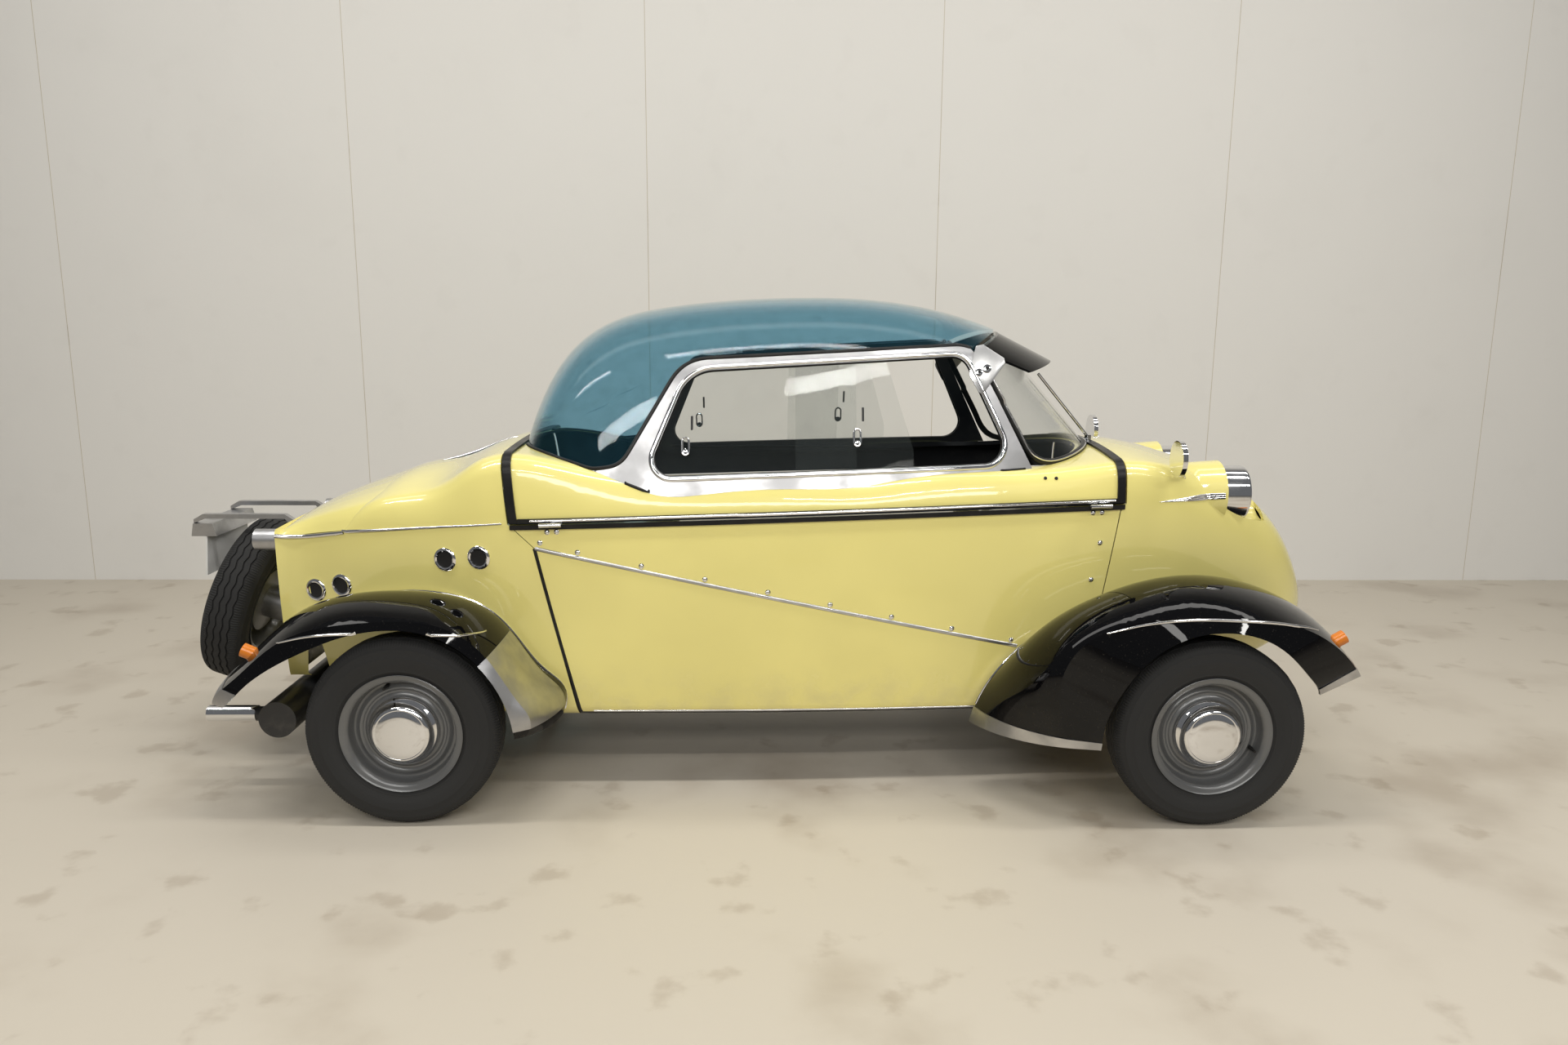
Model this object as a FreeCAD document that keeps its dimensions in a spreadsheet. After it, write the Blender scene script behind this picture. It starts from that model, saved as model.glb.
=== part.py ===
"""Four-wheeled bubble car: a narrow tandem two-seater with a side-hinged clear canopy.

The frame is millimetres with +X forward, +Y to the car's left and +Z up.
The origin is on the floor, midway along the car and on its centre plane.
"""
import FreeCAD
import Part
import Sketcher
import math
import os
from collections import namedtuple

from FreeCAD import Placement, Rotation, Vector

doc = FreeCAD.newDocument("BubbleCar")
sheet = doc.addObject("Spreadsheet::Sheet", "sizes")

X_AXIS = Vector(1, 0, 0)
Y_AXIS = Vector(0, 1, 0)
Z_AXIS = Vector(0, 0, 1)
SIDES = {"left": 1, "right": -1}


class Size:
    """A length that keeps both its number and the sheet formula that it comes from."""

    def __init__(self, formula, value):
        self.formula = formula
        self.value = value

    @staticmethod
    def of(other):
        return other if isinstance(other, Size) else Size(repr(float(other)), float(other))

    def _join(self, other, sign, value):
        return Size(f"({self.formula} {sign} {Size.of(other).formula})", value)

    def __add__(self, other):
        return self._join(other, "+", self.value + Size.of(other).value)

    def __sub__(self, other):
        return self._join(other, "-", self.value - Size.of(other).value)

    def __mul__(self, other):
        return self._join(other, "*", self.value * Size.of(other).value)

    def __truediv__(self, other):
        return self._join(other, "/", self.value / Size.of(other).value)

    def __neg__(self):
        return Size(f"(-{self.formula})", -self.value)


# Driving dimensions: alias, millimetres or degrees, meaning
DRIVING_SIZES = (
    ("front_axle_x", 1050, "front wheel centres ahead of the origin"),
    ("wheelbase", 1890, "between the axles"),
    ("front_track", 1110, "between the front tyres' centre planes"),
    ("rear_track", 1040, "between the rear tyres' centre planes"),
    ("tyre_radius", 228, "outside the tread"),
    ("tyre_width", 112, "across the widest part of a tyre"),
    ("bead_radius", 130, "where the tyre sits on the rim"),
    ("flange_radius", 143, "edge of the ten-inch rim"),
    ("rim_width", 100, "across the rim's flanges"),
    ("hubcap_radius", 80, "pressed cap over the hub"),
    ("drum_radius", 88, "brake drum"),
    ("stub_radius", 14, "stub axle"),
    ("bearing_gap", 0.5, "running gap between a stub and its hub"),
    ("kingpin_offset", 93, "kingpin axis inboard of the wheel's centre plane"),
    ("kingpin_radius", 12, "kingpin"),
    ("kingpin_length", 150, "kingpin from end to end"),
    ("boss_radius", 24, "knuckle round the kingpin"),
    ("fork_offset", 47, "axle fork inboard of the kingpin axis"),
    ("fork_plate", 14, "plates of the axle fork"),
    ("lug_length", 66, "fork's lugs from the fork outwards"),
    ("lug_width", 40, "fork's lugs along the car"),
    ("backplate_offset", 36, "brake back plates inboard of a wheel's centre plane"),
    ("backplate_wall", 5, "brake back plates"),
    ("axle_radius", 22, "front axle beam"),
    ("rear_axle_radius", 25, "rear axle tube"),
    ("panel_wall", 12, "body panel with its lining"),
    ("shut_gap", 5, "gap between the canopy and the fixed panels"),
    ("belt_rear_z", 690, "belt line at the rear seal"),
    ("belt_front_z", 738, "belt line at the front seal"),
    ("seal_front_x", 897, "front edge of the canopy"),
    ("seal_rear_x", -642, "rear edge of the canopy at its top"),
    ("seal_width", 20, "rubber band over the canopy's ends"),
    ("seal_height", 6, "rubber band above the panel"),
    ("strip_height", 11, "belt strip on each side of the gap"),
    ("dome_wall", 5, "blown plastic of the dome and the windscreen"),
    ("window_frame_wall", 14, "cast window frame"),
    ("window_frame_proud", 2, "window frame outside the dome"),
    ("visor_wall", 6, "sun visor"),
    ("wiper_length", 230, "wiper from its pivot to its tip"),
    ("pane_thickness", 4, "sliding pane"),
    ("wing_wall", 5, "pressed mudguard"),
    ("trim_height", 2.5, "polished trim above a mudguard"),
    ("seat_gap", 0.3, "between a part and what it sits on"),
    ("lamp_y", 220, "headlamps from the centre plane"),
    ("lamp_z", 745, "headlamps above the floor"),
    ("lamp_radius", 72, "headlamp rim"),
    ("lamp_face_x", 1173, "front face of a headlamp pod"),
    ("lamp_depth", 67, "headlamp rim ahead of its pod"),
    ("pod_radius", 85, "headlamp pod at its face"),
    ("pod_length", 200, "headlamp pod from the scuttle to its face"),
    ("spare_x", -1399, "centre of the spare wheel"),
    ("spare_z", 410, "centre of the spare wheel"),
    ("spare_lean", 17.4, "degrees that the spare wheel leans forward"),
    ("tail_lamp_y", 238, "tail lamps from the centre plane"),
    ("tail_lamp_z", 622, "tail lamps above the floor"),
    ("tail_lamp_radius", 27, "tail lamp body"),
    ("tail_lamp_length", 58, "tail lamp behind the tail"),
    ("floor_z", 188, "underside of the floor"),
    ("frame_tube_radius", 18, "chassis tubes"),
    ("frame_tube_y", 165, "chassis tubes from the centre plane"),
    ("cross_tube_radius", 14, "cross tubes of the chassis"),
    ("jack_pad", 80, "square lifting pad under the middle cross tube"),
    ("jack_pad_depth", 20, "lifting pad below the middle of the chassis tubes"),
    ("hinge_rear_x", -508, "rear canopy hinge"),
    ("hinge_front_x", 828, "front canopy hinge"),
    ("hinge_rear_y", -418, "canopy hinge axis at the rear hinge"),
    ("hinge_front_y", -382, "canopy hinge axis at the front hinge"),
    ("hinge_radius", 5, "canopy hinge barrel"),
    ("bar_x", 470, "middle of the steering bar"),
    ("bar_z", 660, "middle of the steering bar"),
    ("firewall_x", 787, "cabin face of the front bulkhead"),
    ("column_foot_x", 774, "foot of the steering column"),
    ("column_foot_z", 314, "foot of the steering column"),
    ("engine_front_x", -880, "front of the engine"),
    ("engine_length", 270, "engine along the car"),
    ("engine_width", 340, "engine across the car"),
    ("engine_height", 310, "engine above the chassis tubes"),
    ("seat_height", 300, "underside of the seat cushions"),
    ("cushion_thickness", 100, "seat cushions"),
    ("exhaust_y", -350, "tail pipe from the centre plane"),
    ("exhaust_z", 200, "tail pipe above the floor"),
    ("pipe_radius", 20, "tail pipe"),
    ("pipe_wall", 2, "wall of the tail pipe"),
    ("pipe_neck_radius", 17, "pipe between the silencer and the tail pipe"),
    ("pipe_straight", 120, "straight free end of the tail pipe"),
    ("pipe_bore_depth", 100, "open depth of the tail pipe"),
    ("pipe_end_x", -1385, "open end of the tail pipe"),
    ("silencer_radius", 46, "silencer across the tail"),
    ("silencer_length", 420, "silencer across the tail"),
    ("mirror_radius", 45, "round door mirror"),
    ("mirror_depth", 12, "door mirror from front to back"),
)


class Sizes:
    """The driving dimensions as attributes."""

    def __init__(self, rows):
        for number, (alias, value, meaning) in enumerate(rows, start=1):
            sheet.set(f"A{number}", meaning)
            sheet.set(f"B{number}", str(value))
            sheet.setAlias(f"B{number}", alias)
            setattr(self, alias, Size(f"sizes.{alias}", value))


S = Sizes(DRIVING_SIZES)
doc.recompute()

sub_parts = []


def keep(item, node):
    """Name a finished sub-part for its node."""
    item.Label = node
    sub_parts.append(item)
    return item


def keep_shape(shape, node):
    """Store a computed shape as a sub-part."""
    item = doc.addObject("Part::Feature", node + "_form")
    item.Shape = shape
    item.Placement = Placement()
    return keep(item, node)


def bind(item, **sizes):
    """Tie properties of an object to the sheet."""
    for prop, size in sizes.items():
        item.setExpression(prop, Size.of(size).formula)
    return item


def place(item, x=0, y=0, z=0, turn=Rotation()):
    """Place an object, its position tied to the sheet."""
    spot = [Size.of(value) for value in (x, y, z)]
    item.Placement = Placement(Vector(*[value.value for value in spot]), turn)
    for axis, value in zip("xyz", spot):
        item.setExpression(f"Placement.Base.{axis}", value.formula)
    return item


ALONG_X = Rotation(Y_AXIS, 90)
ALONG_Y = Rotation(X_AXIS, -90)
UPRIGHT = Rotation()


def cylinder(name, radius, length, x=0, y=0, z=0, turn=UPRIGHT):
    item = doc.addObject("Part::Cylinder", name)
    bind(item, Radius=radius, Height=length)
    return place(item, x, y, z, turn)


def box(name, length, width, height, x=0, y=0, z=0, turn=UPRIGHT):
    """A box with its corner of least x, y and z at the place given."""
    item = doc.addObject("Part::Box", name)
    bind(item, Length=length, Width=width, Height=height)
    return place(item, x, y, z, turn)


def centred_box(name, length, width, height, x, z):
    """A box across the centre plane, its rear lower edge at x and z."""
    return box(name, length, width, height, x, -(Size.of(width) / 2), z)


def fuse(name, *items):
    item = doc.addObject("Part::MultiFuse", name)
    item.Shapes = list(items)
    return item


def cut(name, base, tool):
    item = doc.addObject("Part::Cut", name)
    item.Base = base
    item.Tool = tool
    return item


def rounded(name, base, radius):
    """Round every edge of a block."""
    doc.recompute()
    item = doc.addObject("Part::Fillet", name)
    item.Base = base
    item.Edges = [(number + 1, radius, radius) for number in range(len(base.Shape.Edges))]
    return item


def turned_body(name, profile):
    """A PartDesign body turned about its Y axis.

    The profile lists (radius, y) corners of one closed outline.
    """
    body = doc.addObject("PartDesign::Body", name)
    plane = next(item for item in body.Origin.OriginFeatures if item.Role == "XY_Plane")
    sketch = body.newObject("Sketcher::SketchObject", name + "_outline")
    sketch.AttachmentSupport = [(plane, "")]
    sketch.MapMode = "FlatFace"
    corners = [(Size.of(radius), Size.of(width)) for radius, width in profile]
    points = [Vector(radius.value, width.value, 0) for radius, width in corners]
    for start, end in zip(points, points[1:] + points[:1]):
        sketch.addGeometry(Part.LineSegment(start, end), False)
    for number in range(len(points)):
        after = (number + 1) % len(points)
        sketch.addConstraint(Sketcher.Constraint("Coincident", number, 2, after, 1))
    for number, corner in enumerate(corners):
        for kind, size in zip(("DistanceX", "DistanceY"), corner):
            at = sketch.addConstraint(Sketcher.Constraint(kind, -1, 1, number, 1, size.value))
            sketch.setExpression(f"Constraints[{at}]", size.formula)
    turn = body.newObject("PartDesign::Revolution", name + "_turned")
    turn.Profile = sketch
    turn.ReferenceAxis = (sketch, ["V_Axis"])
    turn.Angle = 360
    body.Tip = turn
    return body


def prism(outline, reach=900.0, centre_y=0.0):
    """A slab across the car with an outline of (x, z) corners."""
    points = [Vector(x, centre_y - reach, z) for x, z in outline]
    face = Part.Face(Part.makePolygon(points + points[:1]))
    return face.extrude(Vector(0, 2 * reach, 0))


def rounded_prism(corners, reach=900.0):
    """A slab across the car whose (x, z, radius) corners are rounded by arcs."""
    edges = []
    previous = None
    first = None
    count = len(corners)
    for number, (x, z, radius) in enumerate(corners):
        here = Vector(x, -reach, z)
        before = Vector(corners[number - 1][0], -reach, corners[number - 1][1])
        after = Vector(corners[(number + 1) % count][0], -reach, corners[(number + 1) % count][1])
        to_before = (before - here).normalize()
        to_after = (after - here).normalize()
        half = to_before.getAngle(to_after) / 2
        run = radius / math.tan(half)
        start = here + to_before * run
        end = here + to_after * run
        bisector = (to_before + to_after).normalize()
        middle = here + bisector * (radius / math.sin(half) - radius)
        if previous is not None:
            edges.append(Part.LineSegment(previous, start).toShape())
        else:
            first = start
        edges.append(Part.Arc(start, middle, end).toShape())
        previous = end
    edges.append(Part.LineSegment(previous, first).toShape())
    return Part.Face(Part.Wire(edges)).extrude(Vector(0, 2 * reach, 0))


def slab(low_x, high_x, low_y=-900, high_y=900, low_z=-100, high_z=1500):
    return Part.makeBox(high_x - low_x, high_y - low_y, high_z - low_z, Vector(low_x, low_y, low_z))


def arc(start, middle, end):
    return Part.Arc(Vector(*start), Vector(*middle), Vector(*end)).toShape()


def line(start, end):
    return Part.LineSegment(Vector(*start), Vector(*end)).toShape()


def on_arc(centre, radius, angle):
    return (centre[0] + radius * math.cos(angle), centre[1] + radius * math.sin(angle))


def mirrored(shape):
    return shape.mirror(Vector(), Y_AXIS)


# Body sections. The waist is where the side is widest. Above it the side leans in to the
# shoulder, and the crown rises from the shoulder to the top. Below it one long arc runs
# to the bottom corner.
HullStation = namedtuple(
    "HullStation",
    "x half_width waist top shoulder lean crown bottom side_radius corner")
HULL = [HullStation(*row) for row in (
    (-1225, 268, 636, 658, 10, 1, 6, 250, 2500, 30),
    (-1012, 309, 656, 735, 40, 2, 30, 215, 2500, 35),
    (-865, 339, 669, 796, 55, 6, 40, 197, 2500, 40),
    (-745, 363, 680, 832, 57, 10, 26, 190, 2800, 40),
    (-640, 383, 689, 862, 56, 12, 9, 188, 3000, 40),
    (-350, 396, 698, 817, 56, 12, 8, 188, 3000, 40),
    (0, 396, 710, 806, 56, 11, 8, 188, 3000, 40),
    (300, 387, 719, 812, 55, 10, 10, 188, 3000, 40),
    (600, 371, 729, 829, 52, 8, 13, 188, 3000, 40),
    (700, 365, 732, 835, 51, 7.5, 15, 188, 3000, 40),
    (902, 351, 738, 858, 48, 6, 18, 190, 2500, 42),
    (1050, 327, 715, 843, 60, 6, 22, 198, 1500, 48),
    (1180, 291, 665, 800, 74, 5, 24, 222, 900, 56),
    (1300, 245, 600, 737, 78, 5, 25, 258, 600, 60),
    (1370, 207, 545, 676, 74, 4, 25, 288, 450, 55),
    (1432, 157, 482, 586, 58, 3, 20, 320, 320, 44),
    (1480, 100, 428, 490, 34, 2, 11, 350, 170, 28),
    (1510, 44, 396, 424, 14, 1, 6, 372, 70, 12),
)]
TAIL_END_X = HULL[0].x


def hull_section(row, x, grow):
    """One closed body section, grown outwards by some millimetres."""
    wide = row.half_width + grow
    waist = row.waist + min(grow, 0)
    top = row.top + grow
    bottom = row.bottom - grow
    shoulder = max(row.shoulder + grow, 5)
    corner = max(row.corner + grow, 5)
    side = row.side_radius
    rise = top - shoulder - row.crown - waist
    upper = (rise ** 2 + row.lean ** 2) / (2 * row.lean)
    shoulder_turn = math.asin(rise / upper)
    shoulder_centre = on_arc((wide - upper - shoulder, waist), upper, shoulder_turn)
    drop = top - shoulder_centre[1]
    crown = (shoulder_centre[0] ** 2 + drop ** 2 - shoulder ** 2) / (2 * (drop - shoulder))
    crown_turn = math.atan2(shoulder_centre[1] - (top - crown), shoulder_centre[0])
    corner_y = wide - side + math.sqrt((side - corner) ** 2 - (waist - bottom - corner) ** 2)
    corner_turn = math.atan2(bottom + corner - waist, corner_y - (wide - side))

    shoulder_top = on_arc((0, top - crown), crown, crown_turn)
    shoulder_mid = on_arc(shoulder_centre, shoulder, (crown_turn + shoulder_turn) / 2)
    shoulder_end = on_arc(shoulder_centre, shoulder, shoulder_turn)
    upper_mid = on_arc((wide - upper - shoulder, waist), upper + shoulder, shoulder_turn / 2)
    widest = (wide, waist)
    side_mid = on_arc((wide - side, waist), side, corner_turn / 2)
    side_end = on_arc((wide - side, waist), side, corner_turn)
    corner_mid = on_arc((corner_y, bottom + corner), corner, (corner_turn - math.pi / 2) / 2)
    corner_end = (corner_y, bottom)

    def left(point):
        return (x, point[0], point[1])

    def right(point):
        return (x, -point[0], point[1])

    return Part.Wire([
        arc(right(shoulder_top), (x, 0, top), left(shoulder_top)),
        arc(left(shoulder_top), left(shoulder_mid), left(shoulder_end)),
        arc(left(shoulder_end), left(upper_mid), left(widest)),
        arc(left(widest), left(side_mid), left(side_end)),
        arc(left(side_end), left(corner_mid), left(corner_end)),
        line(left(corner_end), right(corner_end)),
        arc(right(corner_end), right(corner_mid), right(side_end)),
        arc(right(side_end), right(side_mid), right(widest)),
        arc(right(widest), right(upper_mid), right(shoulder_end)),
        arc(right(shoulder_end), right(shoulder_mid), right(shoulder_top)),
    ])


def hull_solid(grow, last=len(HULL)):
    """The body's outer form, grown or shrunk by some millimetres, up to a last section."""
    rows = HULL[:last]
    sections = []
    for number, row in enumerate(rows):
        x = row.x + (-grow if number == 0 else 0)
        sections.append(hull_section(row, x, grow))
    return Part.makeLoft(sections, True, False)


WALL = S.panel_wall.value
hull = hull_solid(0)
hull_seat = hull_solid(S.seat_gap.value)
hull_inside = hull_solid(-WALL, last=len(HULL) - 2)


# Where the belt line's two heights are measured
BELT_REAR_X = -614.0
BELT_FRONT_X = 894.0


def belt_z(x):
    """Height of the belt line, which runs straight between the two seals."""
    share = (x - BELT_REAR_X) / (BELT_FRONT_X - BELT_REAR_X)
    return S.belt_rear_z.value + share * (S.belt_front_z.value - S.belt_rear_z.value)


# Shut lines in side view, as (x, z). The tail's line leans back as it rises, up to the
# rear seal, and the nose's line leans forward.
TAIL_FOOT = (-440, 100)
TAIL_FOLD = (-551, 631)
TAIL_BELT = (BELT_REAR_X, 690)
NOSE_FOOT = (795, 100)


def tail_line(offset):
    """The tail's shut line moved forward by an offset, from bottom to top."""
    top_x = S.seal_rear_x.value
    return [
        (TAIL_FOOT[0] + offset, TAIL_FOOT[1]),
        (TAIL_FOLD[0] + offset, TAIL_FOLD[1]),
        (TAIL_BELT[0] + offset, TAIL_BELT[1]),
        (top_x + offset, 950),
    ]


def nose_line(offset):
    """The nose's shut line moved forward by an offset, from bottom to top."""
    front = S.seal_front_x.value
    return [
        (NOSE_FOOT[0] + offset, NOSE_FOOT[1]),
        (front - 12 + offset, belt_z(front) - 12),
        (front + offset, belt_z(front)),
        (front + offset, 950),
    ]


GAP = S.shut_gap.value
tail_zone = prism(tail_line(-GAP / 2) + [(-1400, 950), (-1400, 0)])
nose_zone = prism(nose_line(GAP / 2) + [(1700, 950), (1700, 0)])
low_belt_z = belt_z(TAIL_BELT[0]) - GAP / 2
tail_rise = (TAIL_BELT[0] - TAIL_FOLD[0]) / (TAIL_BELT[1] - TAIL_FOLD[1])
belt_low = [(TAIL_FOLD[0] + tail_rise * (low_belt_z - TAIL_FOLD[1]), low_belt_z),
            (S.seal_front_x.value, belt_z(S.seal_front_x.value) - GAP / 2)]
belt_high = [(x, belt_z(x) + GAP / 2) for x in (TAIL_BELT[0], S.seal_front_x.value)]
tub_zone = prism([TAIL_FOOT, TAIL_FOLD, belt_low[0], belt_low[1],
                  (S.seal_front_x.value - 12, belt_z(S.seal_front_x.value) - 12), NOSE_FOOT])
canopy_zone = prism([
    (TAIL_BELT[0] + GAP / 2, belt_high[0][1]),
    (S.seal_rear_x.value + GAP / 2, 950),
    (S.seal_front_x.value - GAP / 2, 950),
    (S.seal_front_x.value - GAP / 2, belt_high[1][1]),
])

hull_shell = hull.cut(hull_inside)
over_seals = hull_solid(S.seal_height.value + S.seat_gap.value)

# Greenhouse sections. The side leans in as a straight line from the base to the shoulder,
# and the crown closes the arch.
GlassStation = namedtuple("GlassStation", "x half_width lean side_top shoulder crown")
GLASSHOUSE = [GlassStation(*row) for row in (
    (-622, 115, 6, 800, 50, 870),
    (-610, 175, 10, 815, 70, 902),
    (-585, 245, 14, 840, 95, 968),
    (-545, 300, 18, 880, 118, 1045),
    (-490, 343, 20, 920, 128, 1112),
    (-410, 370, 20.5, 960, 122, 1166),
    (-266, 382, 19.5, 1010, 105, 1207),
    (-67, 380, 19, 1045, 90, 1229),
    (131, 375, 18.5, 1065, 84, 1237),
    (332, 363, 17.5, 1080, 72, 1228),
    (537, 344, 16, 1085, 62, 1187),
    (640, 327, 15, 1078, 52, 1150),
    (720, 306, 14, 1055, 45, 1112),
)]
GLASS_BASE_Z = 758.0


def glass_section(row, grow):
    """One closed greenhouse section, grown outwards by some millimetres."""
    lean = math.radians(row.lean)
    base = row.half_width + grow
    radius = max(row.shoulder + grow, 8)
    crown_z = row.crown + grow
    bend_y = base - (row.side_top - GLASS_BASE_Z) * math.tan(lean)
    centre = (bend_y - radius * math.cos(lean), row.side_top - radius * math.sin(lean))
    drop = crown_z - centre[1]
    crown = (centre[0] ** 2 + drop ** 2 - radius ** 2) / (2 * (drop - radius))
    crown_turn = math.atan2(centre[1] - (crown_z - crown), centre[0])
    top_end = on_arc((0, crown_z - crown), crown, crown_turn)
    middle = on_arc(centre, radius, (crown_turn + lean) / 2)
    bend = (bend_y, row.side_top)
    x = row.x
    return Part.Wire([
        line((x, -base, GLASS_BASE_Z), (x, -bend[0], bend[1])),
        arc((x, -bend[0], bend[1]), (x, -middle[0], middle[1]), (x, -top_end[0], top_end[1])),
        arc((x, -top_end[0], top_end[1]), (x, 0, crown_z), (x, top_end[0], top_end[1])),
        arc((x, top_end[0], top_end[1]), (x, middle[0], middle[1]), (x, bend[0], bend[1])),
        line((x, bend[0], bend[1]), (x, base, GLASS_BASE_Z)),
        line((x, base, GLASS_BASE_Z), (x, -base, GLASS_BASE_Z)),
    ])


def glass_solid(grow):
    return Part.makeLoft([glass_section(row, grow) for row in GLASSHOUSE], True, False)


glasshouse = glass_solid(0)
glasshouse_inside = glass_solid(-S.dome_wall.value)

# Side window in side view: (x, z, corner radius)
WINDOW = [(-286, 802, 42), (622, 834, 48), (500, 1094, 46), (-182, 1053, 95)]
# Cast frame round the window, with a fin behind its lower rear corner
FRAME = [(-500, 740, 12), (712, 740, 12), (518, 1121, 40), (-196, 1081, 100), (-345, 828, 55),
         (-500, 808, 12)]
# Upper and lower edge of the windscreen, each an arc in plan
ScreenEdge = namedtuple("ScreenEdge", "radius tip_x half side_z tip_z")
SCREEN_EDGES = (ScreenEdge(343.0, 618.0, 243.0, 1105.0, 1150.0),
                ScreenEdge(324.0, 866.0, 290.0, 815.0, 862.0))
# The screen goes on past its lower edge, to be cut by the body, and clears the dome's header
SCREEN_REACH = 1.16
SCREEN_AHEAD = 1.0
HEADER_RADIUS = SCREEN_EDGES[0].radius
HEADER_X = SCREEN_EDGES[0].tip_x
SCREEN_FOOT_RADIUS = SCREEN_EDGES[1].radius
SCREEN_FOOT_X = SCREEN_EDGES[1].tip_x
# Root and front edge of the sun visor
VISOR_EDGES = (ScreenEdge(349.4, 624.4, 232.0, 1109.0, 1150.0),
               ScreenEdge(330.0, 768.0, 236.0, 1054.0, 1078.0))
# Wiper: foot and direction of its rod, with the boss that it turns in
WIPER_FOOT = Vector(888, -40, 870)
WIPER_LEAN = Vector(-0.66, -0.12, 0.745)
WIPER_ROD = 4.0
WIPER_BOSS = 9.0
WIPER_BOSS_HEIGHT = 26.0
WIPER_BOSS_DEPTH = 20.0
# Sliding panes: where the rear one ends, and the front one's outline in (x, z)
REAR_PANE_END_X = 230.0
FRONT_PANE = [(80, 740), (372, 740), (372, 865), (270, 1200), (80, 1200)]
# Edges of the opening under the canopy, inside the window frames and the windscreen's foot
OPENING_LEDGE = 4.0
SCREEN_LEDGE = 14.0


def header_cut():
    """What lies ahead of the arched header, where the windscreen starts."""
    ahead = slab(400, 900, low_z=700)
    behind = Part.makeCylinder(HEADER_RADIUS, 800, Vector(HEADER_X - HEADER_RADIUS, 0, 700))
    return ahead.cut(behind)


def arched_sheet(edges, reach, inner, outer):
    """A curved sheet whose upper and lower edges are arcs in plan.

    Reach is how far the sheet goes from the first edge towards the second, and inner and
    outer are how far its two skins stand ahead of the edges.
    """
    def right(point):
        return (point[0], -point[1], point[2])

    def ring_x(edge, ahead, y):
        return edge.tip_x - edge.radius + math.sqrt((edge.radius + ahead) ** 2 - y ** 2)

    sections = []
    for share in (0.0, reach):
        spots = []
        for ahead in (outer, inner):
            for y_share in (1, 0):
                start, end = [Vector(ring_x(edge, ahead, edge.half * y_share),
                                     edge.half * y_share, 0) for edge in edges]
                spots.append(start + (end - start) * share)
        side_z, tip_z = [start + share * (end - start) for start, end in (
            (edges[0].side_z, edges[1].side_z), (edges[0].tip_z, edges[1].tip_z))]
        slope = (tip_z - side_z) / (spots[1].x - spots[0].x)
        out_side, out_tip, in_side, in_tip = [
            (spot.x, spot.y, tip_z + slope * (spot.x - spots[1].x)) for spot in spots]
        sections.append(Part.Wire([
            arc(right(out_side), out_tip, out_side),
            line(out_side, in_side),
            arc(in_side, in_tip, right(in_side)),
            line(right(in_side), right(out_side)),
        ]))
    return Part.makeLoft(sections, True, True)


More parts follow.
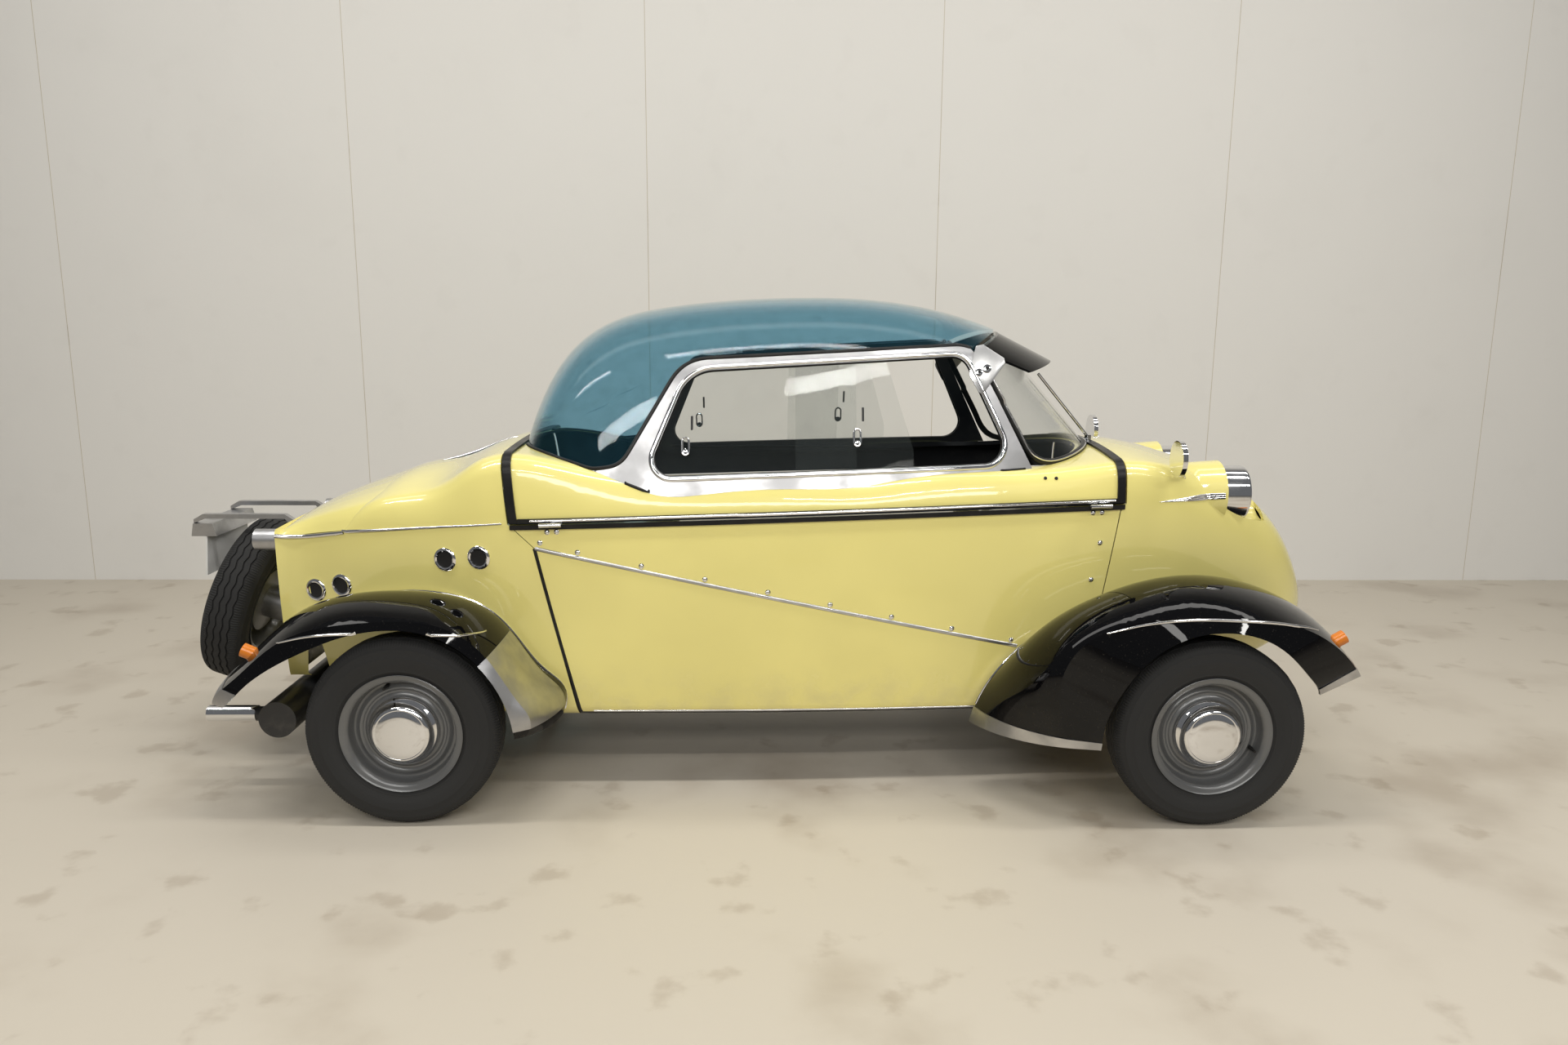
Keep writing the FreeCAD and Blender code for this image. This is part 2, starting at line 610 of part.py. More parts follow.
def make_canopy():
    """Canopy: yellow frame, dome, windscreen, window frames, panes and visor."""
    gap = S.seat_gap.value
    side_only = slab(-700, 800, 150, 900)
    frame_room = rounded_prism(FRAME).common(side_only)
    window_room = rounded_prism(WINDOW).common(side_only)

    frame = frame_room.cut(window_room).common(glass_solid(S.window_frame_proud.value))
    frame = frame.cut(glass_solid(-S.window_frame_wall.value)).cut(hull_seat)
    keep_shape(Part.makeCompound([frame, mirrored(frame)]), "window_frames")

    dome = glasshouse.cut(frame_room).cut(mirrored(frame_room)).cut(header_cut())
    dome = dome.cut(glasshouse_inside).cut(hull_seat)
    keep_shape(dome, "dome")

    screen = arched_sheet(SCREEN_EDGES, SCREEN_REACH, SCREEN_AHEAD,
                          S.dome_wall.value + SCREEN_AHEAD)
    screen = screen.cut(hull_seat).cut(frame).cut(mirrored(frame))
    screen = max(screen.Solids, key=lambda solid: solid.Volume)
    keep_shape(screen, "windscreen")

    hole = glass_solid(-S.window_frame_wall.value - OPENING_LEDGE)
    hole = hole.fuse(Part.makeCylinder(SCREEN_FOOT_RADIUS - SCREEN_LEDGE, 300,
                                       Vector(SCREEN_FOOT_X - SCREEN_FOOT_RADIUS, 0, 700)))
    shell = hull_shell.common(canopy_zone).cut(hole)
    keep_shape(shell, "canopy_shell")

    band_room = hull_solid(S.seal_height.value).cut(hull_seat)
    width = S.seal_width.value
    front = S.seal_front_x.value - GAP / 2
    front_band = band_room.common(slab(front - width, front, low_z=belt_high[1][1]))
    front_band = front_band.cut(arched_sheet(SCREEN_EDGES, SCREEN_REACH, SCREEN_AHEAD - gap,
                                             S.dome_wall.value + SCREEN_AHEAD + gap))
    front_band = max(front_band.Solids, key=lambda solid: solid.Volume)
    rear_band = band_room.common(prism([
        (TAIL_BELT[0] + GAP / 2, belt_high[0][1]),
        (S.seal_rear_x.value + GAP / 2, 950),
        (S.seal_rear_x.value + GAP / 2 + width, 950),
        (TAIL_BELT[0] + GAP / 2 + width, belt_high[0][1]),
    ])).cut(glass_solid(gap))
    height = S.strip_height.value
    strip = band_room.common(prism([
        (TAIL_BELT[0] + GAP / 2 + width + gap, belt_high[0][1]),
        (front - width - gap, belt_high[1][1]),
        (front - width - gap, belt_high[1][1] + height),
        (TAIL_BELT[0] + GAP / 2 + width + gap, belt_high[0][1] + height),
    ]))
    keep_shape(Part.makeCompound(
        [front_band] + rear_band.Solids + strip.Solids), "canopy_seals")

    low_strip = band_room.common(prism([
        (TAIL_BELT[0] + 4, belt_low[0][1] - height),
        (front, belt_low[1][1] - height),
        (front, belt_low[1][1]),
        (TAIL_BELT[0] + 4, belt_low[0][1]),
    ]))
    keep_shape(Part.makeCompound(low_strip.Solids), "belt_trims")

    pane = S.pane_thickness.value
    middle = S.window_frame_wall.value / 2
    play = gap * 2
    outer_skin = (glass_solid(-middle + pane + play), glass_solid(-middle + play))
    inner_skin = (glass_solid(-middle - play), glass_solid(-middle - pane - play))
    rear_pane = slab(-400, REAR_PANE_END_X, low_z=740, high_z=1200)
    front_pane = prism(FRONT_PANE)
    panes = []
    for (outside, inside), outline in ((outer_skin, rear_pane), (inner_skin, front_pane)):
        piece = window_room.common(outline).common(outside).cut(inside).cut(hull_seat)
        panes += piece.Solids
        panes += mirrored(piece).Solids
    keep_shape(Part.makeCompound(panes), "side_glass")

    screen_skin = S.dome_wall.value + SCREEN_AHEAD
    blade = arched_sheet(VISOR_EDGES, 1.0, 0, S.visor_wall.value)
    blade = blade.cut(arched_sheet(SCREEN_EDGES, SCREEN_REACH, SCREEN_AHEAD, screen_skin + gap))
    keep_shape(max(blade.Solids, key=lambda solid: solid.Volume), "sun_visor")

    wiper = Part.makeCylinder(WIPER_ROD, S.wiper_length.value, WIPER_FOOT, WIPER_LEAN)
    pivot = Part.makeCylinder(WIPER_BOSS, WIPER_BOSS_HEIGHT,
                              WIPER_FOOT - Vector(0, 0, WIPER_BOSS_DEPTH))
    keep_shape(wiper.fuse(pivot).cut(over_seals).cut(screen), "wiper")


# The rear bulkhead leans as the tail's shut line does, a little ahead of it
REAR_WALL_AHEAD = 37.0
REAR_WALL_TOP = 650.0
REAR_WALL_LEAN = (TAIL_FOLD[0] - TAIL_FOOT[0]) / (TAIL_FOLD[1] - TAIL_FOOT[1])


def rear_wall_x(z):
    """The cabin face of the rear bulkhead at a height."""
    return TAIL_FOOT[0] + REAR_WALL_AHEAD + REAR_WALL_LEAN * (z - TAIL_FOOT[1])


# The floor takes in this much of the sides, so no thin film of its upper skin is left on them
FLOOR_LAP = 1.0


def make_tub():
    """Side panels, floor and bulkheads of the tub."""
    tub = hull_shell.common(tub_zone)
    floor_top = S.floor_z.value + WALL + FLOOR_LAP
    low = slab(-700, 1000, low_z=0, high_z=floor_top)
    floor = tub.common(low)
    sides = tub.cut(low)
    keep_shape(floor.Solids[0], "floor_pan")
    for side, sign in SIDES.items():
        half = slab(-700, 1000, *sorted((0, sign * 900)))
        keep_shape(sides.common(half).Solids[0], f"side_panel_{side}")
    inside = hull_solid(-WALL - S.seat_gap.value, last=len(HULL) - 2)
    firewall_x = S.firewall_x.value + S.seat_gap.value
    firewall = inside.common(slab(firewall_x, firewall_x + WALL, low_z=floor_top, high_z=705))
    keep_shape(firewall.Solids[0], "front_bulkhead")
    low_x = rear_wall_x(floor_top)
    high_x = rear_wall_x(REAR_WALL_TOP)
    sloped = prism([(low_x - WALL, floor_top), (low_x, floor_top),
                    (high_x, REAR_WALL_TOP), (high_x - WALL, REAR_WALL_TOP)])
    keep_shape(inside.common(sloped).Solids[0], "rear_bulkhead")


# Room for each axle through the body's sides: half its width along the car, and its top
AXLE_WAY = 62.0
AXLE_WAY_TOP = 330.0


def make_nose():
    """Nose with its two headlamp pods, open underneath at the axle."""
    length = S.pod_length.value
    pod = Part.makeCone(S.pod_radius.value - 14, S.pod_radius.value, length,
                        Vector(S.lamp_face_x.value - length, S.lamp_y.value, S.lamp_z.value), X_AXIS)
    nose = hull.fuse(pod).fuse(mirrored(pod)).cut(hull_inside).common(nose_zone)
    well = Part.makeCylinder(S.lamp_radius.value + S.seat_gap.value, S.lamp_depth.value * 2,
                             Vector(S.lamp_face_x.value, S.lamp_y.value, S.lamp_z.value), X_AXIS)
    nose = nose.cut(well).cut(mirrored(well))
    axle_x = S.front_axle_x.value
    notch = slab(axle_x - AXLE_WAY, axle_x + AXLE_WAY, low_z=0, high_z=AXLE_WAY_TOP)
    keep_shape(nose.cut(notch).Solids[0], "nose_shell")


def make_tail():
    """Tail over the engine, open underneath."""
    tail = hull_shell.common(tail_zone)
    axle_x = S.front_axle_x.value - S.wheelbase.value
    under = slab(-1300, -400, -240, 240, 0, 262)
    notch = slab(axle_x - AXLE_WAY, axle_x + AXLE_WAY, low_z=0, high_z=AXLE_WAY_TOP)
    keep_shape(tail.cut(under).cut(notch).Solids[0], "tail_shell")


# Mudguard sections around each wheel: degrees from straight ahead, then (distance from the
# centre plane, radius from the wheel's axis) of the joint, crest, bead and lip.
WingStation = namedtuple("WingStation", "degrees joint crest bead lip")
FRONT_WING = [WingStation(*row) for row in (
    (185, (375, 525), (500, 455), (598, 325), (622, 268)),
    (172, (370, 478), (500, 455), (606, 362), (634, 266)),
    (158, (365, 420), (500, 448), (614, 392), (640, 262)),
    (144, (355, 365), (500, 424), (618, 390), (642, 260)),
    (128, (345, 322), (500, 388), (620, 352), (642, 262)),
    (108, (325, 302), (500, 356), (620, 306), (642, 264)),
    (88, (300, 300), (500, 343), (620, 292), (640, 262)),
    (68, (270, 318), (498, 345), (616, 306), (637, 260)),
    (50, (240, 350), (488, 362), (608, 332), (629, 256)),
    (34, (225, 392), (474, 386), (594, 358), (614, 260)),
    (21, (240, 428), (460, 402), (568, 380), (586, 272)),
)]
REAR_WING = [WingStation(*row) for row in (
    (-2, (365, 345), (470, 335), (560, 288), (580, 264)),
    (16, (365, 315), (480, 308), (566, 282), (585, 258)),
    (36, (365, 292), (490, 293), (570, 273), (588, 255)),
    (56, (362, 296), (498, 300), (574, 280), (590, 256)),
    (76, (360, 290), (500, 299), (575, 276), (590, 256)),
    (96, (352, 290), (500, 301), (575, 273), (590, 256)),
    (115, (340, 305), (500, 324), (574, 291), (588, 264)),
    (134, (325, 345), (496, 360), (570, 331), (584, 286)),
    (150, (305, 385), (484, 390), (560, 366), (574, 326)),
    (164, (285, 432), (464, 436), (548, 413), (562, 378)),
    (172, (275, 468), (445, 466), (532, 446), (546, 418)),
)]


def wing_loft(stations, axle_x, outer, inner):
    """A mudguard between two offsets from its outer skin, on the left side."""
    sections = []
    for row in stations:
        turn = math.radians(row.degrees)

        def spot(point, inset, across, along):
            y, radius = point
            reach = radius - inset * along
            return (axle_x + reach * math.cos(turn), y - inset * across,
                    S.tyre_radius.value + reach * math.sin(turn))

        skins = []
        for inset in (-outer, -inner):
            skins.append([spot(row.joint, inset, 0, 1), spot(row.crest, inset, 0.1, 1),
                          spot(row.bead, inset, 0.75, 0.65), spot(row.lip, inset, 1, 0)])
        (a, b, c, d), (e, f, g, low) = skins
        sections.append(Part.Wire([arc(a, b, c), line(c, d), line(d, low), line(low, g),
                                   arc(g, f, e), line(e, a)]))
    return Part.makeLoft(sections, True, False)


def wedge(axle_x, low, high, reach=700.0):
    """The sector between two angles round a wheel's axis."""
    steps = 6
    points = [(axle_x, S.tyre_radius.value)]
    for step in range(steps + 1):
        turn = math.radians(low + (high - low) * step / steps)
        points.append((axle_x + reach * math.cos(turn), S.tyre_radius.value + reach * math.sin(turn)))
    return prism(points)


def both_sides(shapes, node):
    pieces = []
    for shape in shapes:
        pieces += shape.Solids
        pieces += mirrored(shape).Solids
    keep_shape(Part.makeCompound(pieces), node)


def make_wings():
    """Mudguards with their polished guards, tips and indicators."""
    wall = S.wing_wall.value
    gap = S.seat_gap.value
    height = S.trim_height.value
    front_x = S.front_axle_x.value
    rear_x = front_x - S.wheelbase.value
    front = wing_loft(FRONT_WING, front_x, 0, -wall).cut(hull_seat)
    rear = wing_loft(REAR_WING, rear_x, 0, -wall).cut(hull_seat)
    front = max(front.Solids, key=lambda solid: solid.Volume)
    rear = max(rear.Solids, key=lambda solid: solid.Volume)
    both_sides([front], "front_wings")
    both_sides([rear], "rear_wings")
    front_skin = wing_loft(FRONT_WING, front_x, height + gap, gap).cut(hull_seat)
    rear_skin = wing_loft(REAR_WING, rear_x, height + gap, gap).cut(hull_seat)
    trims = [
        rear_skin.common(wedge(rear_x, 2, 42)).common(slab(-1400, 0, 400, 900)),
        rear_skin.common(wedge(rear_x, 166, 172)),
        front_skin.common(wedge(front_x, 21, 25)),
        front_skin.common(wedge(front_x, 181, 185)),
    ]
    both_sides(trims, "wing_trims")

    lamps = []
    for axle_x, degrees, y, radius, guard in (
            (front_x, 30, 478, 380, front), (rear_x, 156, 470, 395, rear)):
        turn = math.radians(degrees)
        out = Vector(math.cos(turn), 0, math.sin(turn))
        foot = Vector(axle_x, y, S.tyre_radius.value) + out * radius
        lens = Part.makeCylinder(17, 34, foot, out)
        outside = lens.cut(guard)
        lamps.append(max(outside.Solids, key=lambda solid: (solid.CenterOfMass - foot).dot(out)))
    both_sides(lamps, "indicators")


def tyre_profile():
    """Tyre corners as (radius, y), from the inner bead round the tread."""
    half = S.tyre_width / 2
    bead = S.bead_radius
    flange = S.flange_radius
    tread = S.tyre_radius
    right = [(bead, half - 18), (flange + 3, half - 10), (flange + 20, half - 2),
             (flange + 40, half), (tread - 26, half - 3), (tread - 12, half - 9),
             (tread - 4, half - 18), (tread, half - 34)]
    return [(radius, -width) for radius, width in right] + right[::-1]


def rim_profile():
    """Rim, hubcap and drum corners as (radius, y), the cap towards +Y."""
    half = S.rim_width / 2
    bead = S.bead_radius - S.seat_gap
    flange = S.flange_radius
    cap = S.hubcap_radius
    drum = S.drum_radius
    bore = S.stub_radius + S.bearing_gap
    inside = bead - 4.2
    return [
        (0, 54), (45, 52), (cap - 10, 44), (cap, 30), (cap, 20), (drum, 20), (104, 12),
        (116, 20), (inside - 1, 24), (inside, half - 4), (bead, half + 1), (flange, half),
        (flange, half - 4), (bead, half - 11.2), (bead, -half + 11.2), (flange, -half + 4),
        (flange, -half), (bead, -half - 1), (inside, -half + 4), (inside, 16), (116, 14),
        (104, 6), (drum, 12), (drum, -30), (bore, -30), (bore, 0), (0, 0),
    ]


def make_wheels():
    """Four road wheels and the spare."""
    front_x = S.front_axle_x
    rear_x = S.front_axle_x - S.wheelbase
    spots = {}
    for side, sign in SIDES.items():
        turn = Rotation(Z_AXIS, 0 if sign > 0 else 180)
        spots[f"front_{side}"] = (front_x, S.front_track / 2 * sign, S.tyre_radius, turn)
        spots[f"rear_{side}"] = (rear_x, S.rear_track / 2 * sign, S.tyre_radius, turn)
    leaned = Rotation(Y_AXIS, S.spare_lean.value).multiply(Rotation(Z_AXIS, 90))
    spots["spare"] = (S.spare_x, 0, S.spare_z, leaned)
    for spot, (x, y, z, turn) in spots.items():
        for kind, profile in (("tyre", tyre_profile()), ("rim", rim_profile())):
            body = turned_body(f"{kind}_{spot}_body", profile)
            keep(place(body, x, y, z, turn), f"{kind}_{spot}")


def make_front_axle():
    """Axle beam with a fork at each end, and the two steered knuckles."""
    axle_x = S.front_axle_x
    wheel_z = S.tyre_radius
    kingpin_y = S.front_track / 2 - S.kingpin_offset
    fork_y = kingpin_y - S.fork_offset
    plate = S.fork_plate
    beam = cylinder("axle_beam", S.axle_radius, fork_y * 2, axle_x, -fork_y, wheel_z, ALONG_Y)
    pieces = [beam]
    lug_z = S.kingpin_length / 2 - plate
    for side, sign in SIDES.items():
        start = fork_y if sign > 0 else -fork_y - plate
        pieces.append(box(f"fork_{side}", S.axle_radius * 2, plate, S.kingpin_length,
                          axle_x - S.axle_radius, start, wheel_z - S.kingpin_length / 2))
        for level, z in (("upper", lug_z), ("lower", -lug_z - plate)):
            lug = box(f"lug_{level}_{side}", S.lug_width, S.lug_length, plate,
                      axle_x - S.lug_width / 2, fork_y if sign > 0 else -fork_y - S.lug_length,
                      wheel_z + z)
            hole = cylinder(f"eye_{level}_{side}", S.kingpin_radius + S.seat_gap, plate + 6,
                            axle_x, kingpin_y * sign, wheel_z + z - 3)
            pieces.append(cut(f"eyed_lug_{level}_{side}", lug, hole))
        foot = box(f"axle_seat_{side}", 50, 40, wheel_z - S.axle_radius + 6 - S.floor_z,
                   axle_x - 25, S.frame_tube_y * sign - 20, S.floor_z)
        pieces.append(foot)
    keep(fuse("front_axle_form", *pieces), "front_axle")

    for side, sign in SIDES.items():
        pin = cylinder(f"kingpin_{side}", S.kingpin_radius, S.kingpin_length, axle_x,
                       kingpin_y * sign, wheel_z - S.kingpin_length / 2)
        boss = cylinder(f"boss_{side}", S.boss_radius, lug_z * 2 - 2, axle_x, kingpin_y * sign,
                        wheel_z - lug_z + 1)
        reach = S.kingpin_offset - 1
        stub = cylinder(f"stub_{side}", S.stub_radius, reach, axle_x,
                        kingpin_y if sign > 0 else -kingpin_y - reach, wheel_z, ALONG_Y)
        plate_y = S.front_track / 2 - S.backplate_offset
        backplate = cylinder(f"backplate_{side}", S.drum_radius, S.backplate_wall, axle_x,
                             plate_y if sign > 0 else -plate_y - S.backplate_wall, wheel_z,
                             ALONG_Y)
        arm = box(f"steering_arm_{side}", 96, 14, 12, axle_x - 100,
                  kingpin_y * sign - 7, wheel_z - 45)
        keep(fuse(f"knuckle_{side}_form", pin, boss, stub, backplate, arm), f"knuckle_{side}")


def make_rear_axle():
    """Rear axle tube, stubs, back plates and trailing arms."""
    axle_x = S.front_axle_x - S.wheelbase
    wheel_z = S.tyre_radius
    half = S.rear_track / 2
    tube = cylinder("rear_tube", S.rear_axle_radius, (half - 75) * 2, axle_x, -(half - 75),
                    wheel_z, ALONG_Y)
    shaft = cylinder("rear_shaft", S.stub_radius, (half - 1) * 2, axle_x, -(half - 1),
                     wheel_z, ALONG_Y)
    pieces = [tube, shaft]
    for side, sign in SIDES.items():
        plate_y = half - S.backplate_offset
        pieces.append(cylinder(f"rear_plate_{side}", S.drum_radius, S.backplate_wall, axle_x,
                               plate_y if sign > 0 else -plate_y - S.backplate_wall, wheel_z,
                               ALONG_Y))
        arm_y = S.frame_tube_y * sign
        pieces.append(box(f"trailing_arm_{side}", 210, 30, 22, axle_x, arm_y - 15, wheel_z - 34))
        pieces.append(box(f"arm_foot_{side}", 40, 30, wheel_z - 20 - S.floor_z, axle_x + 190,
                          arm_y - 15, S.floor_z))
    keep(fuse("rear_axle_form", *pieces), "rear_axle")


def make_chassis_frame():
    """Two long tubes under the floor with cross tubes and a lifting pad."""
    radius = S.frame_tube_radius
    z = S.floor_z - radius - S.seat_gap
    start = S.engine_front_x - S.engine_length
    length = S.front_axle_x + 40 - start
    pieces = []
    for side, sign in SIDES.items():
        pieces.append(cylinder(f"long_tube_{side}", radius, length, start,
                               S.frame_tube_y * sign, z, ALONG_X))
    for number, x in enumerate((-600, 0, 600)):
        pieces.append(cylinder(f"cross_tube_{number}", S.cross_tube_radius, S.frame_tube_y * 2,
                               x, -S.frame_tube_y, z, ALONG_Y))
    pieces.append(centred_box("lifting_pad", S.jack_pad, S.jack_pad, S.jack_pad_depth,
                              -(S.jack_pad / 2), z - S.jack_pad_depth))
    keep(fuse("chassis_frame_form", *pieces), "chassis_frame")


def make_engine():
    """Engine as one block on the chassis tubes, and the exhaust."""
    block = centred_box("engine_form", S.engine_length, S.engine_width, S.engine_height,
                        S.engine_front_x - S.engine_length, S.floor_z)
    keep(block, "engine_block")
    silencer_x = S.engine_front_x - S.engine_length - S.silencer_radius - S.seat_gap
    silencer = cylinder("silencer", S.silencer_radius, S.silencer_length, silencer_x,
                        S.exhaust_y - S.silencer_radius - 4, S.exhaust_z, ALONG_Y)
    neck = cylinder("pipe_neck", S.pipe_neck_radius, silencer_x - S.pipe_end_x, S.pipe_end_x,
                    S.exhaust_y, S.exhaust_z, ALONG_X)
    pipe = cylinder("tail_pipe", S.pipe_radius, S.pipe_straight, S.pipe_end_x, S.exhaust_y,
                    S.exhaust_z, ALONG_X)
    bore = cylinder("pipe_bore", S.pipe_radius - S.pipe_wall, S.pipe_bore_depth + 10,
                    S.pipe_end_x - 10, S.exhaust_y, S.exhaust_z, ALONG_X)
    keep(cut("exhaust_form", fuse("exhaust_outside", silencer, neck, pipe), bore), "exhaust")


def make_cabin():
    """Seats, dashboard and steering."""
    floor_top = S.floor_z + S.panel_wall + S.seat_gap
    deep = S.cushion_thickness
    for name, length, width, x in (("driver", 380, 440, 60), ("rear", 330, 540, -385)):
        block = centred_box(f"{name}_cushion_block", length, width, deep, x, S.seat_height)
        keep(rounded(f"{name}_cushion_form", block, 22), f"{name}_cushion")
    stand = centred_box("driver_stand", 320, 380, S.seat_height - floor_top - S.seat_gap, 90, floor_top)
    bench = centred_box("rear_stand", 300, 480, S.seat_height - floor_top - S.seat_gap, -380, floor_top)
    keep(fuse("seat_stands_form", stand, bench), "seat_stands")
    back = centred_box("driver_back_block", 66, 430, 340, -6.3, S.seat_height + 40)
    keep(rounded("driver_back_form", back, 22), "driver_backrest")
    lean = math.degrees(math.atan(REAR_WALL_LEAN))
    rear_z = S.seat_height.value + deep.value + 8
    rear_x = rear_wall_x(rear_z) + S.seat_gap.value * 2
    rear_back = box("rear_back_block", 68, 520, 300, rear_x, -260, rear_z, Rotation(Y_AXIS, lean))
    keep(rounded("rear_back_form", rear_back, 22), "rear_backrest")

    dash = centred_box("dash_block", 95, 500, 74, S.firewall_x - 95, 624)
    keep(rounded("dash_form", dash, 16), "dashboard")

    foot = Vector(S.column_foot_x.value, 0, S.column_foot_z.value)
    head = Vector(S.bar_x.value, 0, S.bar_z.value)
    along = head - foot
    turn = Rotation(Z_AXIS, along)
    split = 0.68
    tube = cylinder("column_tube", 17, along.Length * split, foot.x, 0, foot.z, turn)
    keep(tube, "steering_column")
    start = foot + along * split + along.normalize() * S.seat_gap.value
    shaft = cylinder("bar_shaft", 11, (head - start).Length, start.x, 0, start.z, turn)
    cross = cylinder("bar_cross", 11, 300, S.bar_x, -150, S.bar_z, ALONG_Y)
    pieces = [shaft, cross]
    for side, sign in SIDES.items():
        grip = cylinder(f"grip_{side}", 14, 120, S.bar_x, 150 * sign, S.bar_z,
                        Rotation(Z_AXIS, Vector(-0.75, 0.25 * sign, 0.3)))
        pieces.append(grip)
    keep(fuse("steering_bar_form", *pieces), "steering_bar")


def make_lamps():
    """Headlamps, tail lamps and mirrors."""
    depth = S.lamp_depth
    rim = S.lamp_radius
    pair = []
    for side, sign in SIDES.items():
        body = turned_body(f"headlamp_{side}_body", [
            (0, 0), (rim - 2, 0), (rim, 8), (rim, depth - 4), (rim - 3, depth),
            (rim - 8, depth - 1), (rim - 10, depth - 10), (40, depth - 4), (0, depth)])
        place(body, S.lamp_face_x + S.seat_gap, S.lamp_y * sign, S.lamp_z, Rotation(Z_AXIS, -90))
        pair.append(body)
    keep(fuse("headlamps_form", *pair), "headlamps")
    tails = []
    for side, sign in SIDES.items():
        tails.append(cylinder(f"tail_lamp_{side}", S.tail_lamp_radius, S.tail_lamp_length,
                              Size.of(TAIL_END_X) - S.tail_lamp_length - S.seat_gap,
                              S.tail_lamp_y * sign, S.tail_lamp_z, ALONG_X))
    keep(fuse("tail_lamps_form", *tails), "tail_lamps")
    radius = S.mirror_radius.value
    foot = Vector(1062, 296, 790)
    head = Vector(1020, 356, 850)
    stalk = Part.makeCylinder(5, (head - foot).Length, foot, head - foot)
    depth = S.mirror_depth.value
    disc = Part.makeCylinder(radius, depth, head - Vector(depth / 2, 0, 0), X_AXIS)
    mirror = stalk.fuse(disc).cut(hull_seat)
    both_sides([mirror], "mirrors")


def make_spare_carrier():
    """Bracket from the tail to the spare wheel, hoop arms, hood and blank plate."""
    lean = Rotation(Y_AXIS, S.spare_lean.value)
    spare = Vector(S.spare_x.value, 0, S.spare_z.value)
    inward = lean.multVec(X_AXIS)
    start = spare + inward * (30 + S.seat_gap.value)
    tail_x = TAIL_END_X - S.seat_gap.value
    post = Part.makeCylinder(46, 200, start, inward).common(slab(-1500, tail_x))
    arms = []
    for sign in (1, -1):
        bar = prism([(tail_x, 612), (tail_x, 640), (-1262, 664), (-1476, 664), (-1500, 650),
                     (-1500, 640), (-1470, 652), (-1262, 652)], reach=9, centre_y=105 * sign)
        arms.append(bar)
    hood = prism([(-1506, 606), (-1500, 640), (-1450, 640), (-1440, 606)], reach=120)
    plate = prism([(-1478, 500), (-1474, 500), (-1466, 605.7), (-1470, 605.7)], reach=118)
    frame = arms[0].fuse(arms[1]).fuse(hood)
    keep_shape(Part.makeCompound(frame.Solids + post.Solids), "spare_carrier")
    keep_shape(plate, "blank_plate")


def make_hinges():
    """Canopy hinges: fixed knuckles on the tub and moving leaves on the canopy."""
    rear = Vector(S.hinge_rear_x.value, S.hinge_rear_y.value, belt_z(S.hinge_rear_x.value))
    front = Vector(S.hinge_front_x.value, S.hinge_front_y.value, belt_z(S.hinge_front_x.value))
    along = (front - rear).normalize()
    radius = S.hinge_radius.value
    length = 26.0
    gap = S.seat_gap.value
    fixed = []
    moving = []
    for spot in (rear, front):
        fixed_barrel = Part.makeCylinder(radius, length, spot - along * (length + gap), along)
        moving_barrel = Part.makeCylinder(radius, length, spot + along * gap, along)
        low = Part.makeBox(length, 40, 4, spot - along * (length + gap) + Vector(0, 0, -4))
        high = Part.makeBox(length, 40, 4, spot + along * gap)
        fixed.append(fixed_barrel.fuse(low).cut(over_seals))
        moving.append(moving_barrel.fuse(high).cut(over_seals))
    for group, node in ((fixed, "hinge_knuckles"), (moving, "hinge_leaves")):
        pieces = [max(shape.Solids, key=lambda solid: solid.Volume) for shape in group]
        keep_shape(Part.makeCompound(pieces), node)


make_tub()
make_nose()
make_tail()
make_canopy()
make_wings()
make_wheels()
make_front_axle()
make_rear_axle()
make_chassis_frame()
make_engine()
make_cabin()
make_lamps()
make_spare_carrier()
make_hinges()
doc.recompute()

for item in doc.Objects:
    if "Invalid" in item.State or "Error" in item.State:
        raise RuntimeError(f"{item.Name} failed: {item.State}")
for item in sub_parts:
    if item.Shape.isNull() or not item.Shape.isValid():
        raise RuntimeError(f"{item.Label} has no valid shape")

os.makedirs("parts", exist_ok=True)
for item in sub_parts:
    item.Shape.exportStep(f"parts/{item.Label}.step")
    print(f"{item.Label:22s} solids {len(item.Shape.Solids)} volume {item.Shape.Volume / 1e6:.2f} l")
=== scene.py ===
"""Looks of a small four-wheeled bubble car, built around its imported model.

All places are in metres in the row frame: +X forward, +Y to the car's left, +Z up.
"""
import logging
import math
from dataclasses import dataclass, field
from enum import Enum
from typing import Any, Callable, Sequence

import bmesh
import bpy
import numpy as np
from mathutils import Matrix, Vector
from mathutils.bvhtree import BVHTree


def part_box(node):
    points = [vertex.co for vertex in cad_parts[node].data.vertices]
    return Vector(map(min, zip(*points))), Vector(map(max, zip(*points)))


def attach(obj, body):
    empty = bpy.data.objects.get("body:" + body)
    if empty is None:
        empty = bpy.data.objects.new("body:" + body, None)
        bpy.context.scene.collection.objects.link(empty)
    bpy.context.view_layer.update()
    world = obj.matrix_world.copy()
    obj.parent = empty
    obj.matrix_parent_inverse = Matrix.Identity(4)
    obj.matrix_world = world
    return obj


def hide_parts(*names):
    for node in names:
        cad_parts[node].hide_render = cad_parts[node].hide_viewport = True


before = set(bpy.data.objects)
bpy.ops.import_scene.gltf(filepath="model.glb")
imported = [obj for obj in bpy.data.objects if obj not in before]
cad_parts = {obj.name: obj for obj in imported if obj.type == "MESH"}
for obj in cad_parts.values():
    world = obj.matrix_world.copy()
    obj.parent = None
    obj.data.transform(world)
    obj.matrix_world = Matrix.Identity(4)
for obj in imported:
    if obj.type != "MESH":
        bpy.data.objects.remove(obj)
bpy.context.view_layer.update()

log = logging.getLogger("bubble_car")

Colour = tuple[float, float, float]
SIDES = {"left": 1, "right": -1}
TAU = 2 * math.pi


